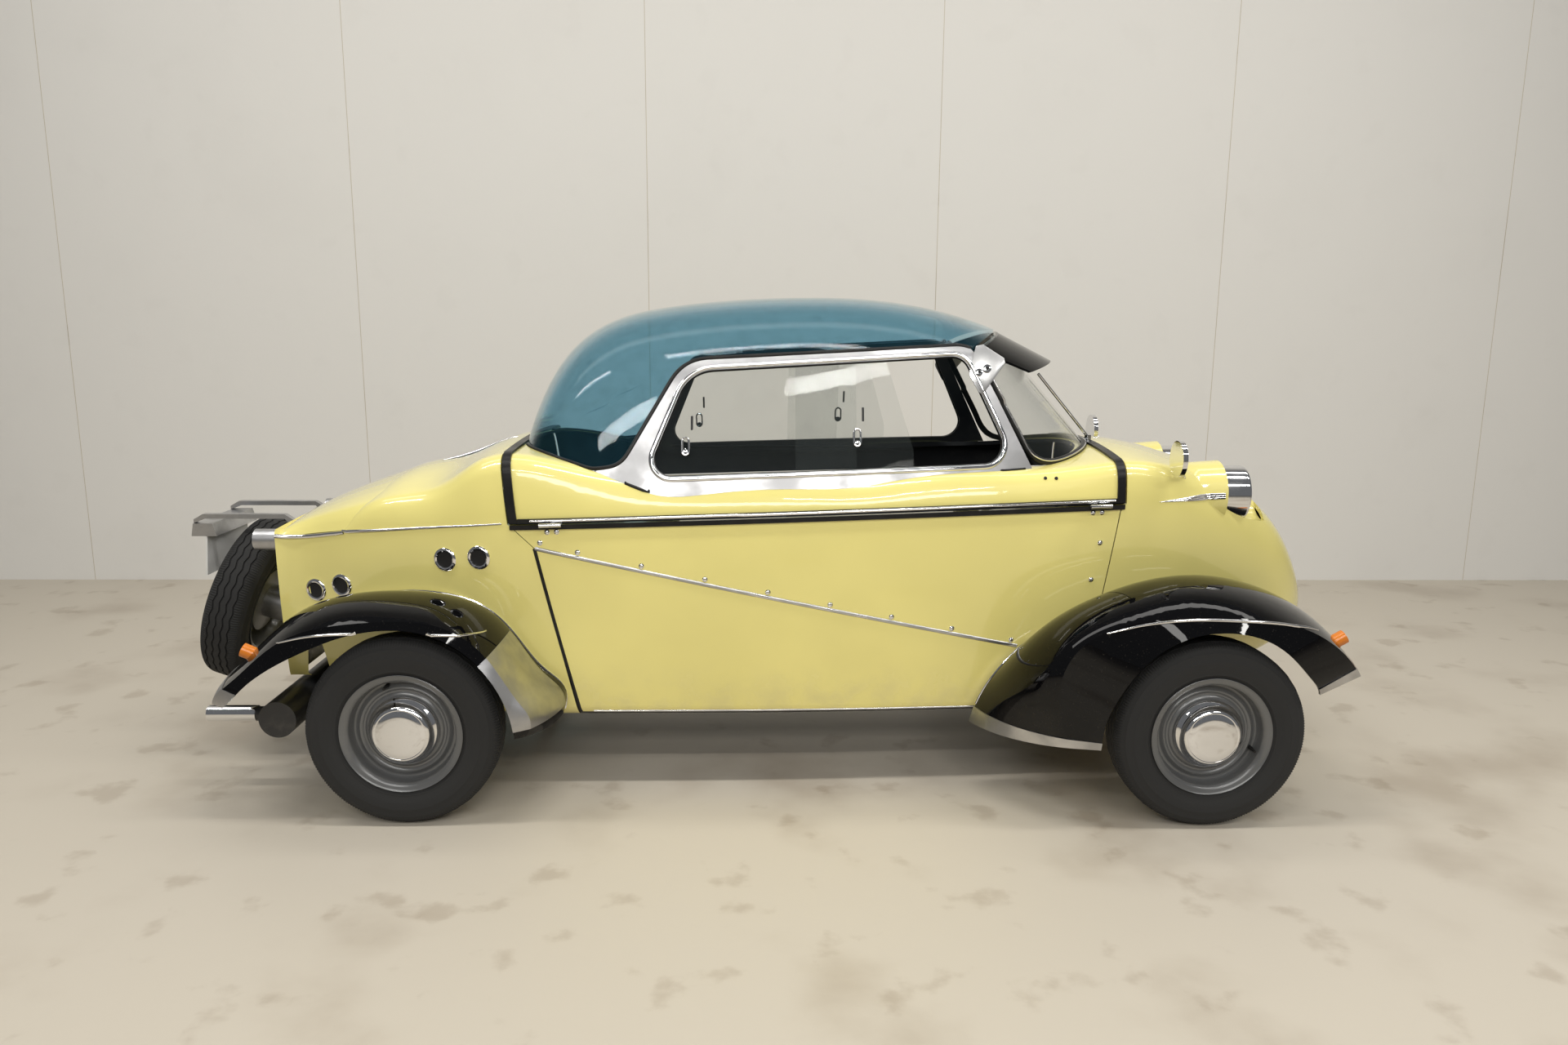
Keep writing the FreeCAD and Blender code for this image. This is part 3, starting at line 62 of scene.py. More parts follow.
def operator(operation: str, turned: bool = False) -> Callable[["Value", Any], "Value"]:
    """An operator of values that adds a Math node.

    Args:
        operation: The node's operation.
        turned: Whether the value comes second, as in 1 - mask.

    Returns:
        The method for the class.
    """
    def operate(self: "Value", other: Any) -> "Value":
        """The operation's result."""
        first, second = (other, self) if turned else (self, other)
        node = self.graph.node("ShaderNodeMath", {"operation": operation}, {0: first, 1: second})
        return Value(self.graph, node.outputs[0])

    return operate


class Value:
    """A shader socket that takes part in Python expressions."""

    def __init__(self, graph: "Graph", socket: bpy.types.NodeSocket) -> None:
        """Wrap a socket.

        Args:
            graph: The graph that the socket belongs to.
            socket: The output socket.
        """
        self.graph = graph
        self.socket = socket

    __add__ = __radd__ = operator("ADD")
    __sub__ = operator("SUBTRACT")
    __rsub__ = operator("SUBTRACT", turned=True)
    __mul__ = __rmul__ = operator("MULTIPLY")
    __pow__ = operator("POWER")


class Graph:
    """The node graph of one material."""

    def __init__(self, name: str) -> None:
        """Start an empty material.

        Args:
            name: The material's name.
        """
        self.material = bpy.data.materials.new(name)
        self.material.use_nodes = True
        self.tree = self.material.node_tree
        self.tree.nodes.clear()

    def node(self, kind: str, settings: dict[str, Any] | None = None,
             sockets: dict[Any, Any] | None = None) -> bpy.types.Node:
        """Add a node.

        Args:
            kind: The node's type.
            settings: Properties that are set first; "stops" fills a colour ramp.
            sockets: Values or links by socket name or number.

        Returns:
            The node.
        """
        made = self.tree.nodes.new(kind)
        for key, value in (settings or {}).items():
            if key == "stops":
                for number, (place, shade) in enumerate(value):
                    elements = made.color_ramp.elements
                    stop = elements[number] if number < 2 else elements.new(place)
                    stop.position = place
                    stop.color = (*shade, 1.0)
            else:
                setattr(made, key, value)
        for key, value in (sockets or {}).items():
            if isinstance(value, Value):
                self.tree.links.new(value.socket, made.inputs[key])
            else:
                made.inputs[key].default_value = value
        return made

    def out(self, node: bpy.types.Node, key: Any = 0) -> Value:
        """One output of a node as a value."""
        return Value(self, node.outputs[key])

    def place(self, scale: Colour = (1.0, 1.0, 1.0)) -> Value:
        """Object coordinates, stretched by a scale for each axis."""
        spot = self.out(self.node("ShaderNodeTexCoord"), "Object")
        if scale == (1.0, 1.0, 1.0):
            return spot
        return self.out(self.node("ShaderNodeMapping", None, {"Vector": spot, "Scale": scale}))

    def height(self) -> Value:
        """Height above the floor."""
        return self.out(self.node("ShaderNodeSeparateXYZ", None, {0: self.place()}), "Z")

    def noise(self, scale: float, detail: float = 3.0, vector: Value | None = None) -> Value:
        """Cloudy noise from 0 to 1.

        Args:
            scale: Blobs per metre.
            detail: Octaves.
            vector: Coordinates, the object's own if left out.

        Returns:
            The noise.
        """
        node = self.node("ShaderNodeTexNoise", None, {
            "Vector": vector or self.place(), "Scale": scale, "Detail": detail})
        return self.out(node, "Fac")

    def cells(self, scale: float) -> Value:
        """Distance to the nearest of scattered points, for grain and pebbled surfaces."""
        sockets = {"Vector": self.place(), "Scale": scale}
        return self.out(self.node("ShaderNodeTexVoronoi", None, sockets), "Distance")

    def band(self, value: Value, low: float, high: float) -> Value:
        """A smooth step from 0 at low to 1 at high."""
        node = self.node("ShaderNodeMapRange", {"interpolation_type": "SMOOTHSTEP"}, {
            "Value": value, "From Min": low, "From Max": high})
        return self.out(node, 0)

    def blend(self, share: Value, first: Colour | Value, second: Colour | Value) -> Value:
        """Mix two colours."""
        def full(colour: Any) -> Any:
            """A colour with its alpha."""
            return colour if isinstance(colour, Value) else (*colour, 1.0)

        node = self.node("ShaderNodeMix", {"data_type": "RGBA"}, {
            0: share, 6: full(first), 7: full(second)})
        return self.out(node, 2)

    def bump(self, height: Value, distance: float, strength: float) -> Value:
        """A normal from a height in metres of relief."""
        sockets = {"Height": height, "Distance": distance, "Strength": strength}
        return self.out(self.node("ShaderNodeBump", None, sockets))

    def surface(self, sockets: dict[str, Any]) -> Value:
        """A Principled shader with the sockets given."""
        return self.out(self.node("ShaderNodeBsdfPrincipled", None, sockets))

    def finish(self, shader: Value) -> bpy.types.Material:
        """Connect the output and give the material."""
        self.node("ShaderNodeOutputMaterial", None, {"Surface": shader})
        return self.material


def scaled(colour: Colour, share: float) -> Colour:
    """A colour made lighter or darker."""
    return tuple(min(1.0, part * share) for part in colour)


@dataclass(frozen=True)
class Finish:
    """A finish with the record's slot that it stands for."""

    name: str
    slot: str
    colour: Colour

    def paint(self, graph: Graph) -> Value:
        """The finish's shader in a graph."""
        raise NotImplementedError

    def material(self) -> bpy.types.Material:
        """The material, made once."""
        made = bpy.data.materials.get(self.name)
        if made:
            return made
        graph = Graph(self.name)
        return graph.finish(self.paint(graph))


@dataclass(frozen=True)
class Lacquer(Finish):
    """Sprayed gloss paint under a clear coat, with faint waves and dust low down."""

    roughness: float = 0.22
    dust: Colour = (0.42, 0.38, 0.31)
    dust_share: float = 0.30
    coat_ior: float = 1.5
    specular: float = 0.3

    def paint(self, graph: Graph) -> Value:
        """The shader."""
        tone = graph.band(graph.noise(2.3, 3.0), 0.36, 0.64)
        body = graph.blend(tone, scaled(self.colour, 0.965), scaled(self.colour, 1.03))
        low = graph.band(graph.height(), 0.36, 0.17)
        film = low * graph.band(graph.noise(14.0, 6.0), 0.35, 0.75) * self.dust_share
        specks = graph.band(graph.noise(260.0, 2.0), 0.66, 0.74) * 0.05
        colour = graph.blend(film + specks, body, self.dust)
        rough = graph.noise(7.0, 5.0) * 0.05 + self.roughness + film * 0.5
        waves = graph.bump(graph.noise(46.0, 1.0), 0.0003, 0.10)
        return graph.surface({
            "Base Color": colour, "Roughness": rough, "Coat Weight": 1.0,
            "Coat Roughness": 0.03, "Coat IOR": self.coat_ior,
            "Specular IOR Level": self.specular, "Normal": waves})


@dataclass(frozen=True)
class Plated(Finish):
    """Bright plating with smears and fine pits."""

    roughness: float = 0.05

    def paint(self, graph: Graph) -> Value:
        """The shader."""
        smear = graph.band(graph.noise(18.0, 6.0), 0.42, 0.72)
        pits = graph.band(graph.noise(900.0, 2.0), 0.64, 0.74)
        colour = graph.blend(pits * 0.35, self.colour, (0.20, 0.17, 0.14))
        rough = smear * 0.07 + pits * 0.25 + self.roughness
        return graph.surface({
            "Base Color": colour, "Roughness": rough, "Metallic": 1.0,
            "Normal": graph.bump(graph.noise(30.0, 2.0), 0.0004, 0.10)})


@dataclass(frozen=True)
class Cast(Finish):
    """Hand-polished cast metal with cloudy patches and polishing marks."""

    roughness: float = 0.24
    grain: float = 1.0

    def paint(self, graph: Graph) -> Value:
        """The shader."""
        cloud = graph.band(graph.noise(11.0, 7.0), 0.34, 0.68)
        marks = graph.noise(60.0, 4.0, graph.place((1.0, 9.0, 14.0)))
        colour = graph.blend(cloud, scaled(self.colour, 0.70), self.colour)
        rough = (1.0 - cloud) * 0.16 + marks * 0.10 + self.roughness
        relief = marks * 0.6 + graph.noise(420.0, 3.0) * 0.4
        return graph.surface({
            "Base Color": colour, "Roughness": rough, "Metallic": 1.0,
            "Normal": graph.bump(relief, 0.0005, 0.16 * self.grain)})


@dataclass(frozen=True)
class Enamel(Finish):
    """Stove enamel on pressed or welded steel, a little dusty."""

    roughness: float = 0.38
    metallic: float = 0.0
    dust: Colour = (0.30, 0.27, 0.22)
    dust_share: float = 0.22

    def paint(self, graph: Graph) -> Value:
        """The shader."""
        cloud = graph.band(graph.noise(9.0, 5.0), 0.38, 0.70)
        grime = cloud * graph.band(graph.noise(45.0, 6.0), 0.40, 0.80) * self.dust_share
        colour = graph.blend(grime, self.colour, self.dust)
        relief = graph.noise(330.0, 3.0) * 0.7 + graph.noise(70.0, 2.0) * 0.3
        return graph.surface({
            "Base Color": colour, "Roughness": grime * 0.9 + self.roughness,
            "Metallic": self.metallic, "Coat Weight": 0.15,
            "Normal": graph.bump(relief, 0.0005, 0.15)})


@dataclass(frozen=True)
class Rubber(Finish):
    """Moulded rubber, with patches of dust."""

    roughness: float = 0.50
    dust_share: float = 0.12
    relief: float = 0.25

    def paint(self, graph: Graph) -> Value:
        """The shader."""
        patch = graph.band(graph.noise(16.0, 6.0), 0.40, 0.72)
        fine = graph.noise(520.0, 3.0)
        film = (patch * 0.7 + fine * 0.3) * self.dust_share
        colour = graph.blend(film, self.colour, (0.21, 0.19, 0.16))
        return graph.surface({
            "Base Color": colour, "Roughness": patch * 0.12 + self.roughness,
            "Specular IOR Level": 0.25,
            "Normal": graph.bump(fine, 0.0004, self.relief)})


@dataclass(frozen=True)
class Moulded(Finish):
    """Grained plastic or leathercloth."""

    roughness: float = 0.48
    pebbles: float = 620.0
    depth: float = 0.35
    sheen: float = 0.0

    def paint(self, graph: Graph) -> Value:
        """The shader."""
        grain = graph.cells(self.pebbles)
        wear = graph.band(graph.noise(8.0, 5.0), 0.45, 0.75)
        colour = graph.blend(wear * 0.5, self.colour, scaled(self.colour, 1.7))
        return graph.surface({
            "Base Color": colour, "Roughness": self.roughness - wear * 0.10,
            "Sheen Weight": self.sheen, "Sheen Roughness": 0.4,
            "Normal": graph.bump(grain, 0.0006, self.depth)})


@dataclass(frozen=True)
class Carpet(Finish):
    """Short looped carpet."""

    def paint(self, graph: Graph) -> Value:
        """The shader."""
        loops = graph.cells(420.0)
        tuft = graph.noise(60.0, 5.0)
        colour = graph.blend(tuft, scaled(self.colour, 0.6), scaled(self.colour, 1.5))
        return graph.surface({
            "Base Color": colour, "Roughness": 0.95, "Sheen Weight": 0.4,
            "Normal": graph.bump(loops + tuft * 0.5, 0.002, 0.8)})


@dataclass(frozen=True)
class SeeThrough(Finish):
    """Blown plastic or glass, tinted through, with a bright skin and a little dust."""

    film: float = 0.03
    skin: Colour = (0.02, 0.02, 0.02)
    glance: float = 0.04

    def paint(self, graph: Graph) -> Value:
        """The shader."""
        facing = graph.out(graph.node("ShaderNodeLayerWeight", None, {"Blend": 0.5}), "Facing")
        edge = facing ** 5.0 * (1.0 - self.glance) + self.glance
        dust = graph.band(graph.noise(24.0, 6.0), 0.40, 0.85) * self.film
        clear = graph.out(graph.node("ShaderNodeBsdfTransparent", None, {
            "Color": (*self.colour, 1.0)}))
        mirror = graph.band(edge, self.film, 0.25)
        gloss = graph.surface({
            "Base Color": graph.blend(mirror, self.skin, (0.95, 0.95, 0.95)),
            "Metallic": mirror, "Roughness": graph.noise(9.0, 4.0) * 0.02 + 0.01,
            "Specular IOR Level": 1.0,
            "Normal": graph.bump(graph.noise(5.0, 1.0), 0.001, 0.06)})
        share = edge * 0.95 + dust + self.film
        mix = graph.node("ShaderNodeMixShader", None, {0: share, 1: clear, 2: gloss})
        return graph.out(mix)


@dataclass(frozen=True)
class Lens(Finish):
    """Moulded lens with fine flutes."""

    flutes: float = 160.0
    through: float = 0.35

    def paint(self, graph: Graph) -> Value:
        """The shader."""
        wave = graph.out(graph.node("ShaderNodeTexWave", {"bands_direction": "Z"}, {
            "Vector": graph.place(), "Scale": self.flutes, "Distortion": 0.0}), "Fac")
        tone = graph.blend(graph.noise(60.0, 3.0), scaled(self.colour, 0.8), self.colour)
        return graph.surface({
            "Base Color": tone, "Roughness": 0.12, "Transmission Weight": self.through,
            "Coat Weight": 0.6, "Normal": graph.bump(wave, 0.0012, 0.5)})


@dataclass(frozen=True)
class Ground(Finish):
    """Pale screeded floor or painted wall of the studio."""

    stain: Colour = (0.4, 0.35, 0.28)
    share: float = 0.2
    roughness: float = 0.6
    one_sided: bool = False

    def paint(self, graph: Graph) -> Value:
        """The shader."""
        wide = graph.band(graph.noise(1.6, 9.0), 0.50, 0.72)
        spots = graph.band(graph.noise(7.0, 9.0), 0.58, 0.70)
        colour = graph.blend((wide * 0.6 + spots * 0.4) * self.share, self.colour, self.stain)
        paint = graph.surface({
            "Base Color": colour, "Roughness": self.roughness - wide * 0.15,
            "Normal": graph.bump(graph.noise(35.0, 6.0), 0.002, 0.2)})
        if not self.one_sided:
            return paint
        behind = graph.out(graph.node("ShaderNodeNewGeometry"), "Backfacing")
        nothing = graph.out(graph.node("ShaderNodeBsdfTransparent"))
        return graph.out(graph.node("ShaderNodeMixShader", None, {0: behind, 1: paint, 2: nothing}))


class Finishes:
    """Every finish on the car and in its studio."""

    YELLOW = Lacquer("yellow_lacquer", "yellow_paint", (0.88, 0.785, 0.27))
    BLACK = Lacquer("black_lacquer", "black_paint", (0.002, 0.002, 0.0025), dust_share=0.02,
                    coat_ior=1.36, specular=0.0)
    CHROME = Plated("bright_chrome", "chrome_trim", (0.80, 0.80, 0.81))
    ALLOY = Cast("polished_casting", "polished_aluminium", (0.56, 0.56, 0.57))
    STRIP = Cast("rolled_strip", "polished_aluminium", (0.66, 0.66, 0.66), roughness=0.18, grain=0.4)
    ENGINE = Cast("sand_casting", "engine_metal", (0.42, 0.42, 0.41), roughness=0.45, grain=4.0)
    WHEEL = Enamel("wheel_enamel", "wheel_grey", (0.145, 0.148, 0.150), roughness=0.30, metallic=0.35,
                   dust_share=0.10)
    CHASSIS = Enamel("chassis_enamel", "chassis_black", (0.020, 0.020, 0.021))
    LINING = Enamel("cabin_enamel", "cabin_black", (0.010, 0.010, 0.011), roughness=0.45,
                    dust_share=0.05)
    SEAL = Rubber("seal_rubber", "black_rubber", (0.010, 0.010, 0.010), roughness=0.30,
                  dust_share=0.05, relief=0.08)
    TYRE = Rubber("tyre_rubber", "tyre_rubber", (0.0055, 0.0055, 0.0055), roughness=0.58,
                  dust_share=0.05)
    PLASTIC = Moulded("grained_plastic", "cabin_black", (0.014, 0.014, 0.015))
    TRIM_CLOTH = Moulded("seat_leathercloth", "seat_cloth", (0.020, 0.020, 0.021), roughness=0.42,
                         pebbles=480.0, depth=0.5, sheen=0.1)
    CARPET = Carpet("floor_carpet", "cabin_black", (0.022, 0.021, 0.020))
    DOME = SeeThrough("teal_plastic", "tinted_dome", (0.72, 0.865, 0.93), film=0.05,
                      skin=(0.03, 0.11, 0.15))
    GLASS = SeeThrough("clear_plastic", "clear_screen", (0.985, 0.99, 0.988), film=0.012,
                       skin=(0.10, 0.12, 0.12))
    SMOKE = Lacquer("smoked_plastic", "smoked_visor", (0.003, 0.003, 0.003), roughness=0.12,
                    dust_share=0.0, coat_ior=1.3, specular=0.0)
    AMBER = Lens("amber_lens", "amber_lens", (0.85, 0.22, 0.02))
    LAMP = Lens("lamp_glass", "clear_screen", (0.95, 0.96, 0.96), flutes=90.0, through=1.0)
    PLATE = Enamel("blank_plate_enamel", "plate_white", (0.74, 0.74, 0.72), roughness=0.3,
                   dust_share=0.05)
    # Near-black finish of the discs in the vent rings: painted shade for the vents' open holes.
    VENT_SHADE = Enamel("painted_vent_shade", "cabin_black", (0.003, 0.003, 0.003), roughness=0.8, dust_share=0.0)
    FLOOR = Ground("pale_floor", "studio", (0.60, 0.545, 0.455), (0.27, 0.20, 0.13), 0.75, 0.5)
    WALL = Ground("pale_wall", "studio", (0.80, 0.785, 0.75), (0.62, 0.60, 0.56), 0.15, 0.85, True)


class Bench:
    """Mesh work by operators, as at a bench: pick a piece, shape it, put it down."""

    @staticmethod
    def clear() -> None:
        """Leave edit mode and let go of everything."""
        if bpy.context.object and bpy.context.object.mode != "OBJECT":
            bpy.ops.object.mode_set(mode="OBJECT")
        bpy.ops.object.select_all(action="DESELECT")

    @staticmethod
    def pick(piece: bpy.types.Object) -> bpy.types.Object:
        """Select one piece only and make it active."""
        Bench.clear()
        piece.select_set(True)
        bpy.context.view_layer.objects.active = piece
        return piece

    @staticmethod
    def fresh(name: str) -> bpy.types.Object:
        """Name the piece that an operator has just added."""
        piece = bpy.context.object
        piece.name = name
        piece.data.name = name
        return piece

    @staticmethod
    def settle(piece: bpy.types.Object, place: Matrix | None = None) -> bpy.types.Object:
        """Put a piece in its place and move that place into its mesh."""
        bpy.context.view_layer.update()
        if place is not None:
            piece.matrix_world = place @ piece.matrix_world
        Bench.pick(piece)
        bpy.ops.object.transform_apply(location=True, rotation=True, scale=True)
        return piece

    @staticmethod
    def modify(piece: bpy.types.Object, kind: str, **settings: Any) -> bpy.types.Object:
        """Add a modifier and apply it."""
        Bench.pick(piece)
        added = piece.modifiers.new(kind.lower(), kind)
        for key, value in settings.items():
            setattr(added, key, value)
        bpy.ops.object.modifier_apply(modifier=added.name)
        return piece

    @staticmethod
    def smooth(piece: bpy.types.Object, degrees: float = 35.0) -> bpy.types.Object:
        """Shade smooth over edges flatter than an angle."""
        Bench.pick(piece)
        bpy.ops.object.shade_smooth_by_angle(angle=math.radians(degrees))
        return piece

    @staticmethod
    def close(piece: bpy.types.Object, merge: float = 1e-5) -> bpy.types.Object:
        """Merge doubles and turn the faces outwards."""
        Bench.pick(piece)
        bpy.ops.object.mode_set(mode="EDIT")
        bpy.ops.mesh.select_all(action="SELECT")
        bpy.ops.mesh.remove_doubles(threshold=merge)
        bpy.ops.mesh.normals_make_consistent(inside=False)
        bpy.ops.object.mode_set(mode="OBJECT")
        return piece

    @staticmethod
    def turned(name: str, profile: Sequence[tuple[float, float]], steps: int = 96) -> bpy.types.Object:
        """Turn a profile about the Y axis, as on a lathe.

        Args:
            name: The piece's name.
            profile: Corners as (radius, y), open from axis to axis or closed on itself.
            steps: Faces round the axis.

        Returns:
            The piece, centred on the origin.
        """
        Bench.clear()
        bpy.ops.mesh.primitive_plane_add(size=0.01)
        piece = Bench.fresh(name)
        bpy.ops.object.mode_set(mode="EDIT")
        bpy.ops.mesh.select_all(action="SELECT")
        bpy.ops.mesh.merge(type="CENTER")
        bpy.ops.transform.translate(value=(profile[0][0], profile[0][1], 0))
        for before, after in zip(profile, profile[1:]):
            bpy.ops.mesh.extrude_vertices_move(TRANSFORM_OT_translate={
                "value": (after[0] - before[0], after[1] - before[1], 0)})
        bpy.ops.mesh.select_all(action="SELECT")
        bpy.ops.mesh.spin(steps=steps, angle=TAU, center=(0, 0, 0), axis=(0, 1, 0))
        bpy.ops.object.mode_set(mode="OBJECT")
        return Bench.smooth(Bench.close(piece, 2e-5))

    @staticmethod
    def bar(name: str, start: Vector, end: Vector, radius: float, sides: int = 20) -> bpy.types.Object:
        """A round bar with bevelled ends between two points."""
        along = end - start
        Bench.clear()
        bpy.ops.mesh.primitive_cone_add(vertices=sides, radius1=radius, radius2=radius,
                                        depth=along.length)
        piece = Bench.fresh(name)
        Bench.modify(piece, "BEVEL", width=min(radius * 0.25, 0.0015), segments=2, limit_method="ANGLE")
        turn = along.to_track_quat("Z", "Y").to_matrix().to_4x4()
        Bench.settle(piece, Matrix.Translation((start + end) / 2) @ turn)
        return Bench.smooth(piece)

    @staticmethod
    def block(name: str, low: Sequence[float], high: Sequence[float], bevel: float = 0.002,
              segments: int = 3) -> bpy.types.Object:
        """A block with rounded edges between two corners."""
        Bench.clear()
        bpy.ops.mesh.primitive_cube_add(size=1.0)
        piece = Bench.fresh(name)
        size = Vector(high) - Vector(low)
        piece.dimensions = size
        piece.location = (Vector(high) + Vector(low)) / 2
        Bench.settle(piece)
        Bench.modify(piece, "BEVEL", width=bevel, segments=segments)
        return Bench.smooth(piece)

    @staticmethod
    def wire(name: str, points: Sequence[Vector], radius: float, closed: bool = False,
             bevel: int = 3) -> bpy.types.Object:
        """A round wire or bead through points."""
        Bench.clear()
        bpy.ops.curve.primitive_nurbs_path_add()
        piece = Bench.fresh(name)
        piece.data.splines.clear()
        spline = piece.data.splines.new("POLY")
        spline.points.add(len(points) - 1)
        for spot, point in zip(spline.points, points):
            spot.co = (*point, 1.0)
        spline.use_cyclic_u = closed
        piece.data.dimensions = "3D"
        piece.data.bevel_depth = radius
        piece.data.bevel_resolution = bevel
        piece.data.use_fill_caps = not closed
        Bench.pick(piece)
        bpy.ops.object.convert(target="MESH")
        return Bench.smooth(Bench.close(Bench.fresh(name), 1e-6))

    @staticmethod
    def meshed(name: str, rows: Sequence[Sequence[Vector]],
               faces: Sequence[tuple[int, ...]]) -> bpy.types.Object:
        """A piece from rows of corners and its faces."""
        mesh = bpy.data.meshes.new(name)
        mesh.from_pydata([tuple(spot) for row in rows for spot in row], [], faces)
        piece = bpy.data.objects.new(name, mesh)
        bpy.context.collection.objects.link(piece)
        return Bench.close(piece, 1e-6)

    @staticmethod
    def sheet(name: str, rows: Sequence[Sequence[Vector]], thickness: float, passes: int = 0,
              degrees: float = 35.0) -> bpy.types.Object:
        """A sheet with rows of points on its upper side.

        Args:
            name: The piece's name.
            rows: Rows of points, as many in each.
            thickness: How thick it is, downwards.
            passes: How often it is smoothed.
            degrees: Edges flatter than this are shaded smooth.

        Returns:
            The piece.
        """
        wide = len(rows[0])
        faces = [(r * wide + c, r * wide + c + 1, (r + 1) * wide + c + 1, (r + 1) * wide + c)
                 for r in range(len(rows) - 1) for c in range(wide - 1)]
        piece = Bench.meshed(name, rows, faces)
        if passes:
            Bench.modify(piece, "SMOOTH", factor=0.5, iterations=passes)
        if piece.data.polygons[len(piece.data.polygons) // 2].normal.z < 0:
            piece.data.flip_normals()
        Bench.modify(piece, "SOLIDIFY", thickness=thickness, offset=-1.0)
        return Bench.smooth(Bench.close(piece, 1e-6), degrees)

    @staticmethod
    def moulding(name: str, path: Sequence[tuple[Vector, Vector]],
                 section: Sequence[tuple[float, float]], closed: bool = False,
                 taper: Callable[[float], float] | None = None) -> bpy.types.Object:
        """Sweep a closed section along a path on a surface.

        Args:
            name: The piece's name.
            path: Points with the surface's normal at each.
            section: Corners as (across, out) from the path, closed on itself.
            closed: Whether the path closes.
            taper: Scale of the section along the path, from a share of its length.

        Returns:
            The piece.
        """
        spots = [Vector(point) for point, _ in path]
        count = len(spots)
        rows = []
        for number, (point, normal) in enumerate(path):
            after = spots[(number + 1) % count] if closed or number < count - 1 else spots[number]
            before = spots[number - 1] if closed or number > 0 else spots[0]
            along = (after - before).normalized()
            up = (Vector(normal) - along * along.dot(normal)).normalized()
            across = along.cross(up)
            size = taper(number / max(count - 1, 1)) if taper else 1.0
            rows.append([Vector(point) + across * (a * size) + up * (o * size) for a, o in section])
        wide = len(section)
        faces = []
        for row in range(count if closed else count - 1):
            other = (row + 1) % count
            for side in range(wide):
                near = (side + 1) % wide
                faces.append((row * wide + side, row * wide + near, other * wide + near,
                              other * wide + side))
        if not closed:
            faces.append(tuple(range(wide))[::-1])
            faces.append(tuple((count - 1) * wide + side for side in range(wide)))
        return Bench.smooth(Bench.meshed(name, rows, faces))

    @staticmethod
    def copy(piece: bpy.types.Object, name: str, place: Matrix) -> bpy.types.Object:
        """Another of a piece, with its own mesh, at a place."""
        twin = piece.copy()
        twin.data = piece.data.copy()
        twin.name = name
        twin.data.name = name
        bpy.context.collection.objects.link(twin)
        twin.data.transform(place)
        if place.determinant() < 0:
            twin.data.flip_normals()
        return twin

    @staticmethod
    def joined(pieces: Sequence[bpy.types.Object], name: str) -> bpy.types.Object:
        """Join pieces into one."""
        Bench.clear()
        for piece in pieces:
            piece.select_set(True)
        bpy.context.view_layer.objects.active = pieces[0]
        bpy.ops.object.join()
        return Bench.fresh(name)


def half_round(width: float, height: float, steps: int = 6) -> list[tuple[float, float]]:
    """A half-round section, a little sunk into what it lies on."""
    arch = [(-width / 2 * math.cos(math.pi * step / steps), height * math.sin(math.pi * step / steps))
            for step in range(steps + 1)]
    return [(-width / 2, -0.001)] + arch + [(width / 2, -0.001)]


def seated(point: Vector, normal: Vector) -> Matrix:
    """The place of a turned piece that stands on a skin, its axis along the skin's normal."""
    return Matrix.Translation(point) @ normal.to_track_quat("Y", "Z").to_matrix().to_4x4()


class Skin:
    """The skins of some nodes, found by rays."""

    def __init__(self, *nodes: str) -> None:
        """Gather the nodes' faces.

        Args:
            nodes: Names of nodes.
        """
        corners: list[Vector] = []
        faces: list[tuple[int, ...]] = []
        for node in nodes:
            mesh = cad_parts[node].data
            start = len(corners)
            corners += [vertex.co.copy() for vertex in mesh.vertices]
            faces += [tuple(start + index for index in face.vertices) for face in mesh.polygons]
        self.tree = BVHTree.FromPolygons(corners, faces)

    def hit(self, start: Sequence[float], aim: Sequence[float]) -> tuple[Vector, Vector]:
        """Where a ray meets the skin, with the normal there.

        Args:
            start: Where the ray starts.
            aim: Its direction.

        Returns:
            The point and the normal that faces the ray.
        """
        aim = Vector(aim).normalized()
        point, normal, _, _ = self.tree.ray_cast(Vector(start), aim)
        if point is None:
            point, normal, _, _ = self.tree.find_nearest(Vector(start) + aim * 1.65)
        if normal.dot(aim) > 0:
            normal = -normal
        return point, normal

    def beside(self, x: float, z: float, sign: int) -> tuple[Vector, Vector]:
        """The skin seen from the car's side."""
        return self.hit((x, sign * 2.0, z), (0, -sign, 0))

    def above(self, x: float, y: float) -> tuple[Vector, Vector]:
        """The skin seen from above."""
        return self.hit((x, y, 3.0), (0, 0, -1))

    def down(self, x: float, z: float, lowest: float, sign: int, on: bool) -> float:
        """Come down the car's side while its rays meet the skin, or while they miss it.

        Args:
            x: The place along the car.
            z: The height to start from.
            lowest: The height to stop at.
            sign: The side's sign.
            on: Whether to go on while the rays meet the skin.

        Returns:
            The height where that ends.
        """
        aim = Vector((0, -sign, 0))
        while z > lowest and (self.tree.ray_cast(Vector((x, sign * 2.0, z)), aim)[0] is not None) == on:
            z -= 0.001
        return z

    def line(self, spots: Sequence[Sequence[float]], sign: int) -> list[tuple[Vector, Vector]]:
        """A path on the skin through spots given as (x, z), seen from the car's side."""
        return [self.beside(x, z, sign) for x, z in spots]


def between(first: Sequence[float], last: Sequence[float], count: int) -> list[tuple[float, ...]]:
    """Evenly spaced points from first to last."""
    return [tuple(a + (b - a) * step / (count - 1) for a, b in zip(first, last))
            for step in range(count)]


def eased(values: Sequence[Sequence[float]], count: int) -> list[tuple[float, ...]]:
    """A smooth curve through rows of numbers, sampled evenly from the first row to the last."""
    rows = [np.array(row, float) for row in values]
    out = []
    for step in range(count):
        at = step / (count - 1) * (len(rows) - 1)
        low = min(int(at), len(rows) - 2)
        share = at - low
        a, b, c, d = (rows[max(0, min(len(rows) - 1, low + k))] for k in (-1, 0, 1, 2))
        spot = 0.5 * (2 * b + (c - a) * share + (2 * a - 5 * b + 4 * c - d) * share ** 2
                      + (3 * b - a - 3 * c + d) * share ** 3)
        out.append(tuple(float(part) for part in spot))
    return out


